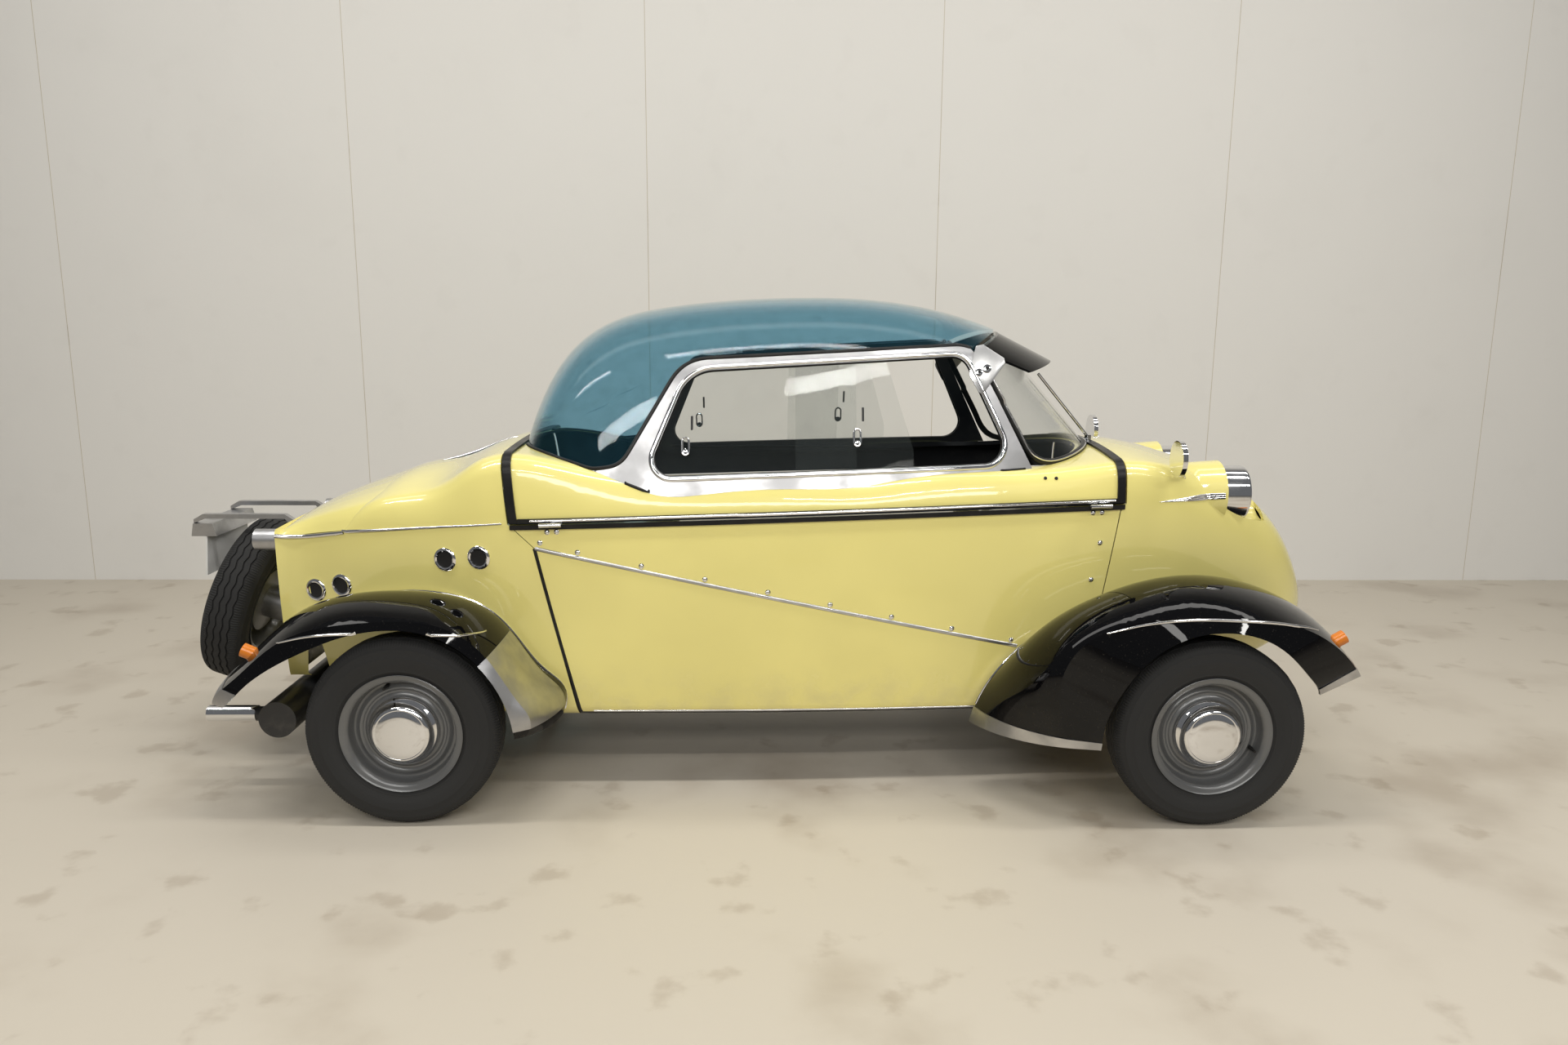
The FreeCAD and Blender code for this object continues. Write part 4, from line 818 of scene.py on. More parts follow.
def crisp_chains(node: str, keep: Callable[[Vector], bool], degrees: float = 30.0) -> list[list[Vector]]:
    """The crisp edges of a node as chains of points, longest first.

    Args:
        node: The node's name.
        keep: Says whether an edge with this middle counts.
        degrees: How sharp an edge has to be.

    Returns:
        Chains of points.
    """
    work = bmesh.new()
    work.from_mesh(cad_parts[node].data)
    bmesh.ops.remove_doubles(work, verts=work.verts, dist=2e-5)
    limit = math.radians(degrees)
    links: dict[int, list[int]] = {}
    places: dict[int, Vector] = {}
    for edge in work.edges:
        if len(edge.link_faces) != 2 or edge.calc_face_angle(0.0) < limit:
            continue
        a, b = edge.verts
        if not keep((a.co + b.co) / 2):
            continue
        for first, second in ((a, b), (b, a)):
            links.setdefault(first.index, []).append(second.index)
            places[first.index] = first.co.copy()
    work.free()
    chains = []
    left = set(links)
    while left:
        ends = [index for index in left if len(links[index]) == 1]
        at = min(ends) if ends else min(left)
        chain = [at]
        left.discard(at)
        while True:
            ahead = [index for index in links[at] if index in left]
            if not ahead:
                break
            at = ahead[0]
            left.discard(at)
            chain.append(at)
        chains.append([places[index] for index in chain])
    chains.sort(key=lambda chain: -sum((b - a).length for a, b in zip(chain, chain[1:])))
    return chains


def evenly(points: Sequence[Vector], pitch: float, passes: int = 2) -> list[Vector]:
    """Resample a chain of points to an even pitch and take out its kinks."""
    lengths = [0.0]
    for a, b in zip(points, points[1:]):
        lengths.append(lengths[-1] + (b - a).length)
    count = max(3, int(lengths[-1] / pitch) + 1)
    rows = np.array([tuple(point) for point in points])
    marks = np.linspace(0, lengths[-1], count)
    spots = np.stack([np.interp(marks, lengths, rows[:, axis]) for axis in range(3)], 1)
    for _ in range(passes):
        spots[1:-1] = (spots[:-2] + 2 * spots[1:-1] + spots[2:]) / 4
    return [Vector(spot) for spot in spots]


def dress(node: str, finish: Finish) -> None:
    """Give a node a finish as it is."""
    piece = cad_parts[node]
    piece.data.materials.clear()
    piece.data.materials.append(finish.material())
    log.info("node %s: %s", node, finish.name)


def put(piece: bpy.types.Object, finish: Finish, body: str = "chassis", *nodes: str) -> bpy.types.Object:
    """Finish a piece and let it ride on its body.

    Args:
        piece: The piece.
        finish: Its finish.
        body: The body that carries it.
        nodes: Nodes that it stands for.

    Returns:
        The piece.
    """
    piece.data.materials.clear()
    piece.data.materials.append(finish.material())
    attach(piece, body)
    if nodes:
        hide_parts(*nodes)
    log.info("piece %s on %s: %s, %d faces", piece.name, body, finish.name, len(piece.data.polygons))
    return piece


def trim(name: str, path: Sequence[tuple[Vector, Vector]], section: Sequence[tuple[float, float]],
         finish: Finish, body: str = "chassis", **way: Any) -> bpy.types.Object:
    """A moulding with its finish, on its body; way is what Bench.moulding takes besides."""
    return put(Bench.moulding(name, path, section, **way), finish, body)


def paired(name: str, path: Callable[[int], Sequence[tuple[Vector, Vector]]],
           section: Sequence[tuple[float, float]], finish: Finish, body: str = "chassis",
           **way: Any) -> None:
    """A moulding on each side of the car, along the path that belongs to a side's sign."""
    for side, sign in SIDES.items():
        trim(f"{name}_{side}", path(sign), section, finish, body, **way)


def lined_copy(node: str, name: str, outside: Finish, inside: Finish, body: str,
               inner: Callable[[Vector, Vector], bool]) -> bpy.types.Object:
    """A copy of a panel with its lining in another finish.

    Args:
        node: The node that the copy stands for.
        name: The copy's name.
        outside: Finish of its outer skin.
        inside: Finish of its lining.
        body: The body that carries it.
        inner: Says from a face's middle and normal whether it is lining.

    Returns:
        The copy.
    """
    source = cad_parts[node]
    piece = bpy.data.objects.new(name, source.data.copy())
    bpy.context.collection.objects.link(piece)
    piece.data.name = name
    Bench.pick(piece)
    bpy.ops.mesh.customdata_custom_splitnormals_clear()
    bpy.ops.object.mode_set(mode="EDIT")
    bpy.ops.mesh.select_all(action="SELECT")
    bpy.ops.mesh.remove_doubles(threshold=2e-5)
    bpy.ops.object.mode_set(mode="OBJECT")
    Bench.smooth(piece, 32.0)
    put(piece, outside, body, node)
    piece.data.materials.append(inside.material())
    for face in piece.data.polygons:
        face.material_index = int(inner(face.center, face.normal))
    return piece


def faces_in(centre_z: float) -> Callable[[Vector, Vector], bool]:
    """A test for faces that look towards the car's centre line at a height."""
    def test(middle: Vector, normal: Vector) -> bool:
        """Whether the face looks inwards."""
        return normal.dot(Vector((0, middle.y, middle.z - centre_z))) < 0
    return test


class Pose(Enum):
    """Which way a wheel's cap looks."""

    LEFT = 0.0
    RIGHT = 180.0
    REAR = 90.0


@dataclass
class Wheels:
    """Tyres, rims, caps and valves of the four road wheels and the spare."""

    # Centre, the cap's direction and the valve's angle in degrees
    spots: dict[str, tuple[Vector, Pose, float]] = field(default_factory=lambda: {
        "front_left": (Vector((1.05, 0.555, 0.228)), Pose.LEFT, 150.0),
        "front_right": (Vector((1.05, -0.555, 0.228)), Pose.RIGHT, 160.0),
        "rear_left": (Vector((-0.84, 0.52, 0.228)), Pose.LEFT, 40.0),
        "rear_right": (Vector((-0.84, -0.52, 0.228)), Pose.RIGHT, -72.0),
        "spare": (Vector((-1.399, 0.0, 0.41)), Pose.REAR, 90.0),
    })
    spare_lean: float = 17.4
    teeth: int = 216
    tooth_depth: float = 0.0024
    tooth_from: tuple[float, float] = (0.2130, 0.035)
    tread_within: tuple[float, float] = (0.21, 0.034)
    wave: float = 0.0022
    wave_steps: int = 12
    valve_radius: float = 0.1130

    def place(self, spot: str) -> Matrix:
        """Where a wheel's centre goes, with its cap's direction."""
        centre, pose, _ = self.spots[spot]
        turn = Matrix.Rotation(math.radians(pose.value), 4, "Z")
        if spot == "spare":
            turn = Matrix.Rotation(math.radians(self.spare_lean), 4, "Y") @ turn
        return Matrix.Translation(centre) @ turn

    def tyre_profile(self) -> list[tuple[float, float]]:
        """Corners of the tyre as (radius, y), round the carcass and the tread's grooves."""
        side = [(0.1300, 0.0385), (0.1310, 0.0420), (0.1380, 0.0440), (0.1450, 0.0452),
                (0.1490, 0.0478), (0.1510, 0.0500), (0.1540, 0.0500), (0.1560, 0.0502),
                (0.1640, 0.0535), (0.1740, 0.0553), (0.1830, 0.0558), (0.1860, 0.0560),
                (0.1875, 0.0552), (0.1960, 0.0540), (0.2030, 0.0524), (0.2050, 0.0524),
                (0.2065, 0.0510), (0.2140, 0.0478), (0.2190, 0.0440)]
        crown = [(0.2222, 0.0400), (0.2240, 0.0360)]
        grooves = []
        for middle in (0.0265, 0.0090):
            shelf = 0.2268 - (middle / 0.0265) * 0.0012
            grooves += [(shelf, middle + 0.0024), (shelf - 0.0046, middle + 0.0014),
                        (shelf - 0.0046, middle - 0.0014), (shelf + 0.0004, middle - 0.0024)]
        half = side + crown + grooves
        return half + [(radius, -y) for radius, y in half[::-1]]

    def tyre(self) -> bpy.types.Object:
        """One tyre with zigzag grooves and a toothed shoulder."""
        steps = self.teeth * 2
        profile = self.tyre_profile()
        piece = Bench.turned("tyre_pattern", profile + [profile[0]], steps)
        co = np.zeros(len(piece.data.vertices) * 3)
        piece.data.vertices.foreach_get("co", co)
        co = co.reshape(-1, 3)
        radius = np.hypot(co[:, 0], co[:, 2])
        step = np.rint(np.arctan2(co[:, 2], co[:, 0]) / TAU * steps).astype(int) % steps
        low, half = self.tread_within
        tread = (np.abs(co[:, 1]) < half) & (radius > low)
        phase = np.abs((step % self.wave_steps) / (self.wave_steps / 2) - 1.0) * 2 - 1
        co[:, 1] += np.where(tread, phase * self.wave, 0.0)
        low, half = self.tooth_from
        tooth = (radius > low) & (np.abs(co[:, 1]) > half) & (step % 2 == 0)
        shrink = np.where(tooth, (radius - self.tooth_depth) / radius, 1.0)
        co[:, 0] *= shrink
        co[:, 2] *= shrink
        piece.data.vertices.foreach_set("co", co.reshape(-1))
        piece.data.update()
        return Bench.smooth(piece, 28.0)

    def rim(self) -> bpy.types.Object:
        """One pressed rim with its ringed disc."""
        return Bench.turned("rim_pattern", [
            (0.0145, 0.012), (0.060, 0.016), (0.084, 0.0205), (0.0890, 0.0185), (0.0925, 0.0150),
            (0.0965, 0.0150), (0.0995, 0.0180), (0.1040, 0.0190), (0.1075, 0.0170), (0.1110, 0.0130),
            (0.1150, 0.0115), (0.1190, 0.0125), (0.1215, 0.0160), (0.1230, 0.0230), (0.1236, 0.0360),
            (0.1250, 0.0400), (0.1285, 0.0440), (0.1330, 0.0465), (0.1380, 0.0475), (0.1405, 0.0488),
            (0.1422, 0.0502), (0.1430, 0.0496), (0.1424, 0.0470), (0.1400, 0.0452), (0.1350, 0.0440),
            (0.1297, 0.0400), (0.1296, -0.0400), (0.1350, -0.0440), (0.1405, -0.0455),
            (0.1430, -0.0496), (0.1420, -0.0502), (0.1380, -0.0475), (0.1290, -0.0440),
            (0.1250, -0.0380), (0.1236, 0.0080), (0.1190, 0.0060), (0.1110, 0.0060),
            (0.1040, 0.0110), (0.0965, 0.0070), (0.0890, 0.0090), (0.0870, -0.0280),
            (0.0800, -0.0300), (0.0145, -0.0300), (0.0145, 0.012)], 128)

    def cap(self) -> bpy.types.Object:
        """One plated cap with its ring."""
        return Bench.turned("cap_pattern", [
            (0.0, 0.0590), (0.020, 0.0588), (0.040, 0.0576), (0.0565, 0.0556), (0.0580, 0.0546),
            (0.0592, 0.0546), (0.0605, 0.0553), (0.0640, 0.0540), (0.0668, 0.0510), (0.0690, 0.0460),
            (0.0720, 0.0400), (0.0770, 0.0350), (0.0815, 0.0315), (0.0832, 0.0280), (0.0830, 0.0250),
            (0.0800, 0.0235), (0.0760, 0.0260), (0.0600, 0.0500), (0.0, 0.0540)], 128)

    def valve(self) -> bpy.types.Object:
        """One valve stem."""
        return Bench.turned("valve_pattern", [
            (0.0, 0.044), (0.0028, 0.044), (0.0034, 0.043), (0.0034, 0.035), (0.0026, 0.034),
            (0.0030, 0.030), (0.0042, 0.028), (0.0050, 0.018), (0.0052, 0.008), (0.0, 0.008)], 16)

    def build(self) -> None:
        """Make one of each and put copies on all wheels."""
        tyre, rim, cap, valve = self.tyre(), self.rim(), self.cap(), self.valve()
        for spot, (_, _, angle) in self.spots.items():
            body = "chassis" if spot == "spare" else f"wheel_{spot}"
            place = self.place(spot)
            put(Bench.copy(tyre, f"tread_tyre_{spot}", place), Finishes.TYRE, body, f"tyre_{spot}")
            put(Bench.copy(rim, f"pressed_rim_{spot}", place), Finishes.WHEEL, body, f"rim_{spot}")
            put(Bench.copy(cap, f"hub_cap_{spot}", place), Finishes.CHROME, body)
            turn = Matrix.Rotation(math.radians(angle), 4, "Y")
            stem = place @ turn @ Matrix.Translation((self.valve_radius, 0.0, 0.0))
            put(Bench.copy(valve, f"valve_{spot}", stem), Finishes.SEAL, body)
        for pattern in (tyre, rim, cap, valve):
            bpy.data.objects.remove(pattern)


@dataclass
class Bodywork:
    """Painted panels with their strips, screws, vents and beads."""

    # Spots and lines on the car's sides are given as (x, z)
    screw_radius: float = 0.0065
    strip_width: float = 0.010
    fold: tuple[float, float] = (-0.551, 0.631)
    strip_end: tuple[float, float] = (0.644, 0.372)
    strip_screws: tuple = ((-0.4480, 0.6225), (0.6280, 0.3890))
    first_screw: tuple[float, float] = (-0.5385, 0.6455)
    other_screws: tuple = ((-0.520, 0.672), (-0.497, 0.673), (0.815, 0.7165), (0.838, 0.717),
                           (0.838, 0.640), (0.822, 0.545))
    sill_z: float = 0.2035
    sill_reach: tuple[float, float] = (-0.425, 0.600)
    joint_line: tuple = ((-0.5525, 0.631), (-0.4570, 0.200))
    joint_step: float = 0.004
    vent_spots: tuple = ((-0.778, 0.596), (-0.691, 0.605), (-1.132, 0.497), (-1.057, 0.515))
    ridge: tuple = ((-0.630, 0.6905), (-1.205, 0.6405))
    spine: tuple[float, float] = (-0.870, -0.665)
    nose_line: tuple[float, float] = (1.245, 1.395)
    spear: tuple = ((0.985, 0.7405), (1.165, 0.7505))
    spear_pitch: float = 0.0052
    lining_z: float = 0.50
    canopy_lining_z: float = 0.62
    deck_thickness: float = 0.003
    # Place along the car, height of the deck's crown, height of its ridges
    deck_line: tuple = ((-0.945, 0.7760, 0.661), (-0.965, 0.7695, 0.658), (-1.000, 0.7575, 0.652),
                        (-1.050, 0.7400, 0.646), (-1.100, 0.7210, 0.640), (-1.150, 0.7000, 0.634),
                        (-1.190, 0.6800, 0.629), (-1.215, 0.6600, 0.626), (-1.226, 0.6480, 0.626))
    # Share of the half width, share of the crown's rise over the ridges
    deck_section: tuple = ((0.0, 1.0), (0.25, 0.972), (0.50, 0.90), (0.70, 0.80), (0.825, 0.705),
                           (0.90, 0.625), (0.95, 0.50), (0.985, 0.25), (1.0, 0.0))

    def __post_init__(self) -> None:
        """Find the skins that trims sit on."""
        self.tub = Skin("side_panel_left", "side_panel_right")
        self.tail = Skin("tail_shell")
        self.nose = Skin("nose_shell")

    def screw(self) -> bpy.types.Object:
        """One domed screw on a cupped washer."""
        radius = self.screw_radius
        return Bench.turned("screw_pattern", [
            (0.0, 0.0046), (radius * 0.35, 0.0044), (radius * 0.62, 0.0036), (radius * 0.70, 0.0026),
            (radius * 0.78, 0.0022), (radius, 0.0010), (radius, -0.001), (0.0, -0.001)], 20)

    def screws(self) -> None:
        """All screws on both sides, in one piece for each panel."""
        pattern = self.screw()
        spots = [self.first_screw, *between(*self.strip_screws, 8), *self.other_screws]
        for side, sign in SIDES.items():
            made = [Bench.copy(pattern, f"screw_{number}", seated(*self.tub.beside(x, z, sign)))
                    for number, (x, z) in enumerate(spots)]
            put(Bench.joined(made, f"panel_screws_{side}"), Finishes.CHROME)
        bpy.data.objects.remove(pattern)

    def strips(self) -> None:
        """The slanted strip, the sill strips and the rubber in the tail's shut line."""
        slanted = between(self.fold, self.strip_end, 50)
        sill = [(x, self.sill_z) for x in np.linspace(*self.sill_reach, 30)]
        shut = [(x + self.joint_step, z) for x, z in between(*self.joint_line, 26)]
        back = Vector((self.joint_step, 0, 0))
        paired("slanted_strip", lambda sign: self.tub.line(slanted, sign),
               half_round(self.strip_width, 0.0030), Finishes.STRIP)
        paired("sill_strip", lambda sign: self.tub.line(sill, sign),
               half_round(0.0055, 0.0030), Finishes.STRIP)
        paired("tail_joint_rubber",
               lambda sign: [(point - back, normal) for point, normal in self.tub.line(shut, sign)],
               half_round(0.0085, 0.0022), Finishes.SEAL)

    def vents(self) -> None:
        """Ringed cooling vents in the tail's flanks, each with a dark disc of painted shade for its
        hole.
        """
        ring = Bench.turned("vent_pattern", [
            (0.0205, -0.004), (0.0195, 0.0015), (0.0205, 0.0040), (0.0235, 0.0052), (0.0265, 0.0045),
            (0.0292, 0.0018), (0.0295, -0.001), (0.0270, -0.003), (0.0205, -0.004)], 48)
        # A flush near-black disc in each ring is painted shade standing for the vent's open hole.
        shade_disc = Bench.turned("shade_disc_pattern", [(0.0, 0.0008), (0.0203, 0.0008), (0.0203, -0.002),
                                             (0.0, -0.002)], 40)
        for side, sign in SIDES.items():
            for number, (x, z) in enumerate(self.vent_spots):
                place = seated(*self.tail.beside(x, z, sign))
                put(Bench.copy(ring, f"vent_ring_{side}_{number}", place), Finishes.CHROME)
                put(Bench.copy(shade_disc, f"vent_hole_shade_{side}_{number}", place), Finishes.VENT_SHADE)
        for pattern in (ring, shade_disc):
            bpy.data.objects.remove(pattern)

    def beads(self) -> None:
        """Bright beads along the tail's ridges, its spine and the nose's centre."""
        paired("ridge_bead", lambda sign: self.tail.line(between(*self.ridge, 40), sign),
               half_round(0.0085, 0.0045), Finishes.CHROME, taper=lambda share: 0.55 + 0.75 * share)
        trim("spine_bead", [self.tail.above(x, 0.0) for x in np.linspace(*self.spine, 24)],
             half_round(0.012, 0.006), Finishes.CHROME,
             taper=lambda share: 0.35 + 0.65 * math.sin(math.pi * min(share * 1.4, 1)))
        trim("nose_bead", [self.nose.above(x, 0.0) for x in np.linspace(*self.nose_line, 24)],
             half_round(0.011, 0.006), Finishes.CHROME,
             taper=lambda share: 0.4 + 0.6 * math.sin(math.pi * share))

    def spears(self) -> None:
        """Ribbed spears along the headlamp pods."""
        for side, sign in SIDES.items():
            for number, shift in enumerate((-self.spear_pitch, 0.0, self.spear_pitch)):
                path = [self.nose.beside(x, z + shift * min(1.0, step / 25 * 1.6), sign)
                        for step, (x, z) in enumerate(between(*self.spear, 26))]
                trim(f"pod_spear_{side}_{number}", path, half_round(0.0062, 0.0042), Finishes.CHROME,
                     taper=lambda share: 0.25 + 0.75 * min(1.0, share * 1.5))

    def deck(self) -> None:
        """The rear end of the tail's deck, between its ridges."""
        places, crowns, waists = zip(*self.deck_line)
        shares, rises = zip(*self.deck_section)
        behind = [-place for place in places]
        rows = []
        for x in np.linspace(places[0], places[-1], 34):
            crown = float(np.interp(-x, behind, crowns))
            waist = float(np.interp(-x, behind, waists))
            half = abs(self.tail.beside(float(x), waist, -1)[0].y)
            rows.append([Vector((float(x), share * half,
                                 waist + (crown - waist) * float(np.interp(abs(share), shares, rises))))
                         for share in np.linspace(-1, 1, 65)])
        put(Bench.sheet("tail_deck_end", rows, self.deck_thickness, 4, 50.0), Finishes.YELLOW)

    def build(self) -> None:
        """Paint the panels and add their trims."""
        for node in ("side_panel_left", "side_panel_right", "tail_shell", "nose_shell"):
            lined_copy(node, f"painted_{node}", Finishes.YELLOW, Finishes.LINING, "chassis",
                       faces_in(self.lining_z))
        lined_copy("canopy_shell", "painted_canopy", Finishes.YELLOW, Finishes.LINING, "canopy",
                   faces_in(self.canopy_lining_z))
        dress("floor_pan", Finishes.CHASSIS)
        dress("front_bulkhead", Finishes.LINING)
        dress("rear_bulkhead", Finishes.LINING)
        dress("belt_trims", Finishes.SEAL)
        self.deck()
        self.screws()
        self.strips()
        self.vents()
        self.beads()
        self.spears()


@dataclass
class Mudguards:
    """Black mudguards with their beads, guards and indicators."""

    # Each bead's line from its rear end to its front, as (x, z)
    bead_lines: dict[str, tuple[tuple[float, float], ...]] = field(default_factory=lambda: {
        "front": ((0.781, 0.484), (0.868, 0.505), (0.962, 0.515), (1.056, 0.515), (1.170, 0.507),
                  (1.247, 0.493), (1.290, 0.479)),
        "rear": ((-1.110, 0.447), (-1.030, 0.466), (-0.919, 0.475), (-0.808, 0.475),
                 (-0.698, 0.467), (-0.650, 0.457)),
    })
    joint_within: tuple[float, float] = (0.20, 0.42)
    joint_above: float = 0.22

    def build(self) -> None:
        """Paint the mudguards and add their beads."""
        dress("front_wings", Finishes.BLACK)
        dress("rear_wings", Finishes.BLACK)
        dress("wing_trims", Finishes.ALLOY)
        dress("indicators", Finishes.AMBER)
        for label, rows in self.bead_lines.items():
            skin = Skin(f"{label}_wings")
            paired(f"{label}_guard_bead", lambda sign: skin.line(eased(rows, 70), sign),
                   half_round(0.0080, 0.0048), Finishes.CHROME,
                   taper=lambda share: max(0.15, math.sin(math.pi * share)) ** 0.35)
        self.joint_beads()

    def joint_beads(self) -> None:
        """Bright beads where the mudguards meet the body."""
        inner, outer = self.joint_within
        for node in ("front_wings", "rear_wings"):
            for side, sign in SIDES.items():
                chains = crisp_chains(node, lambda middle: inner < middle.y * sign < outer
                                      and middle.z > self.joint_above)
                if not chains:
                    continue
                highest = max(chains[:4], key=lambda chain: max(spot.z for spot in chain))
                path = evenly(highest, 0.012, 4)
                put(Bench.wire(f"{node}_joint_bead_{side}", path, 0.0032), Finishes.CHROME)


@dataclass
class Canopy:
    """Clear canopy: dome, screen, castings, panes, visor and seals."""

    # Corners of the side window: x, z and the corner's radius
    window: tuple = ((-0.286, 0.802, 0.042), (0.622, 0.834, 0.048), (0.500, 1.094, 0.046),
                     (-0.182, 1.053, 0.095))
    # Left half of the screen's edge, from its top corner down to the middle
    screen_edge: tuple = ((0.538, 0.2420, 1.095), (0.571, 0.252, 1.033), (0.604, 0.262, 0.972),
                          (0.637, 0.272, 0.912), (0.660, 0.280, 0.868), (0.690, 0.283, 0.838),
                          (0.730, 0.270, 0.832), (0.772, 0.238, 0.836), (0.812, 0.195, 0.845),
                          (0.845, 0.140, 0.853), (0.867, 0.075, 0.858), (0.876, 0.0, 0.860))
    belt_z: float = 0.724
    belt_slope: float = 0.0344
    belt_reach: tuple[float, float] = (-0.560, 0.868)
    belt_start: float = 0.012
    belt_lowest: float = 0.66
    filler_drop: float = 0.0045
    dome_foot: tuple[float, float] = (-0.60, 1.12)
    screen_inside: tuple[float, float, float] = (0.45, 0.0, 0.75)
    casting_reach: tuple[float, float] = (-0.412, 0.664)
    casting_z: tuple[float, float] = (0.850, 0.740)
    shell_screws: tuple[float, float] = (0.695, 0.722)
    shell_screw_z: float = 0.800
    plate_spot: tuple[float, float] = (0.537, 1.050)
    plate_outline: tuple = ((0.531, 1.117), (0.549, 1.121), (0.601, 1.088), (0.604, 1.076),
                            (0.598, 1.067), (0.551, 1.006), (0.543, 1.000), (0.537, 1.004),
                            (0.514, 1.044), (0.513, 1.052))
    # Knobs of a visor plate: x, z and radius
    knobs: tuple = ((0.537, 1.052, 0.0095), (0.557, 1.061, 0.0105))
    pulls: tuple = ((-0.188, 0.874), (0.232, 0.895))

    def outline(self, inset: float, pitch: float = 0.008) -> list[tuple[float, float]]:
        """The side window's outline with rounded corners, moved in by an inset."""
        corners = [Vector((x, z)) for x, z, _ in self.window]
        spots: list[Vector] = []
        count = len(corners)
        for number, corner in enumerate(corners):
            radius = self.window[number][2]
            back = (corners[number - 1] - corner).normalized()
            ahead = (corners[(number + 1) % count] - corner).normalized()
            half = back.angle(ahead) / 2
            middle = (back + ahead).normalized()
            centre = corner + middle * (radius / math.sin(half))
            start = corner + back * (radius / math.tan(half)) - centre
            end = corner + ahead * (radius / math.tan(half)) - centre
            for share in np.linspace(0, 1, 12):
                spoke = start.slerp(end, float(share))
                spots.append(centre + spoke.normalized() * (radius - inset))
        spots.append(spots[0])
        path = evenly([Vector((spot.x, 0, spot.y)) for spot in spots], pitch, 0)
        return [(spot.x, spot.z) for spot in path[:-1]]

    def window_trims(self) -> None:
        """Bright lip and black channel round each side window."""
        skin = Skin("window_frames")
        paired("window_lip", lambda sign: skin.line(self.outline(-0.007), sign),
               half_round(0.0125, 0.0055), Finishes.CHROME, "canopy", closed=True)
        paired("window_channel", lambda sign: [(point - normal * 0.006, normal) for point, normal
                                               in skin.line(self.outline(-0.0016), sign)],
               half_round(0.008, 0.005), Finishes.SEAL, "canopy", closed=True)

    def foot_seals(self) -> None:
        """Rubber round the dome's foot and the screen, with a bright filler in the screen's."""
        rear, top = self.dome_foot
        chains = crisp_chains("dome", lambda middle: middle.z < top and middle.x > rear, 40.0)
        for number, chain in enumerate(chains[:2]):
            put(Bench.wire(f"dome_rubber_{number}", evenly(chain, 0.010, 3), 0.0055),
                Finishes.SEAL, "canopy")
        half = [Vector(spot) for spot in eased(self.screen_edge, 90)]
        other = [Vector((spot.x, -spot.y, spot.z)) for spot in half[-2::-1]]
        skin = Skin("windscreen", "canopy_shell")
        loop = []
        for spot in evenly(half + other, 0.008, 3):
            point, normal, _, _ = skin.tree.find_nearest(spot)
            if normal.dot(spot - Vector(self.screen_inside)) < 0:
                normal = -normal
            loop.append((point, normal))
        for _ in range(3):
            loop = [loop[0]] + [(now[0], (before[1] + now[1] + after[1]).normalized())
                                for before, now, after in zip(loop, loop[1:], loop[2:])] + [loop[-1]]
        trim("screen_rubber", loop, half_round(0.017, 0.008), Finishes.SEAL, "canopy")
        trim("screen_filler", [(point + normal * 0.0068, normal) for point, normal in loop],
             half_round(0.0045, 0.0030), Finishes.CHROME, "canopy")
        self.casting_seals()

    def casting_seals(self) -> None:
        """Rubber line under each casting, and two black screws ahead of it."""
        skin = Skin("window_frames")
        shell = Skin("canopy_shell")
        for side, sign in SIDES.items():
            path = []
            for x in np.linspace(*self.casting_reach, 80):
                z = skin.down(float(x), *self.casting_z, sign, True)
                point, normal, _, _ = shell.tree.find_nearest(skin.beside(float(x), z + 0.002, sign)[0])
                path.append((point, Vector((0, sign, 0.6)).normalized()))
            trim(f"casting_seal_{side}", path, half_round(0.008, 0.0042), Finishes.SEAL, "canopy")
            for number, x in enumerate(self.shell_screws):
                spot, normal = shell.beside(x, self.shell_screw_z, sign)
                put(Bench.bar(f"shell_screw_{side}_{number}", spot - normal * 0.001,
                              spot + normal * 0.003, 0.0042), Finishes.SEAL, "canopy")

    def belt_filler(self) -> None:
        """Bright filler along the upper half of the belt's rubber."""
        skin = Skin("canopy_seals")
        for side, sign in SIDES.items():
            path = []
            for x in np.linspace(*self.belt_reach, 90):
                start = self.belt_z + self.belt_slope * float(x) + self.belt_start
                z = skin.down(float(x), start, self.belt_lowest, sign, False)
                path.append(skin.beside(float(x), z - self.filler_drop, sign))
            trim(f"belt_filler_{side}", path, half_round(0.0075, 0.0042), Finishes.CHROME, "canopy")

    def plates(self) -> None:
        """Polished plates of the visor, with their knobs."""
        skin = Skin("window_frames")
        count = len(self.plate_outline)
        for side, sign in SIDES.items():
            spot, normal = skin.beside(*self.plate_spot, sign)
            rise = Vector((0, -normal.z * sign, normal.y * sign)).normalized()

            def at(x: float, z: float, out: float) -> Vector:
                """A point over the plate's middle plane."""
                flat = Vector((0, normal.y, normal.z)).normalized()
                return Vector((x, spot.y, spot.z)) + rise * ((z - spot.z) / rise.z) + flat * out

            rings = [[at(x, z, out) for x, z in self.plate_outline] for out in (0.0005, 0.0045)]
            faces = [tuple(range(count)), tuple(range(2 * count - 1, count - 1, -1))]
            faces += [(k, k + count, (k + 1) % count + count, (k + 1) % count) for k in range(count)]
            piece = Bench.meshed(f"visor_plate_{side}", rings, faces)
            Bench.modify(piece, "BEVEL", width=0.0009, segments=2, limit_method="ANGLE")
            put(Bench.smooth(piece), Finishes.STRIP, "canopy")
            for number, (x, z, radius) in enumerate(self.knobs):
                for label, out, size, finish in (("knob", 0.0115, radius, Finishes.CHROME),
                                                 ("socket", 0.0122, radius * 0.45, Finishes.SEAL)):
                    put(Bench.bar(f"visor_{label}_{side}_{number}", at(x, z, 0.0040),
                                  at(x, z, out), size), finish, "canopy")

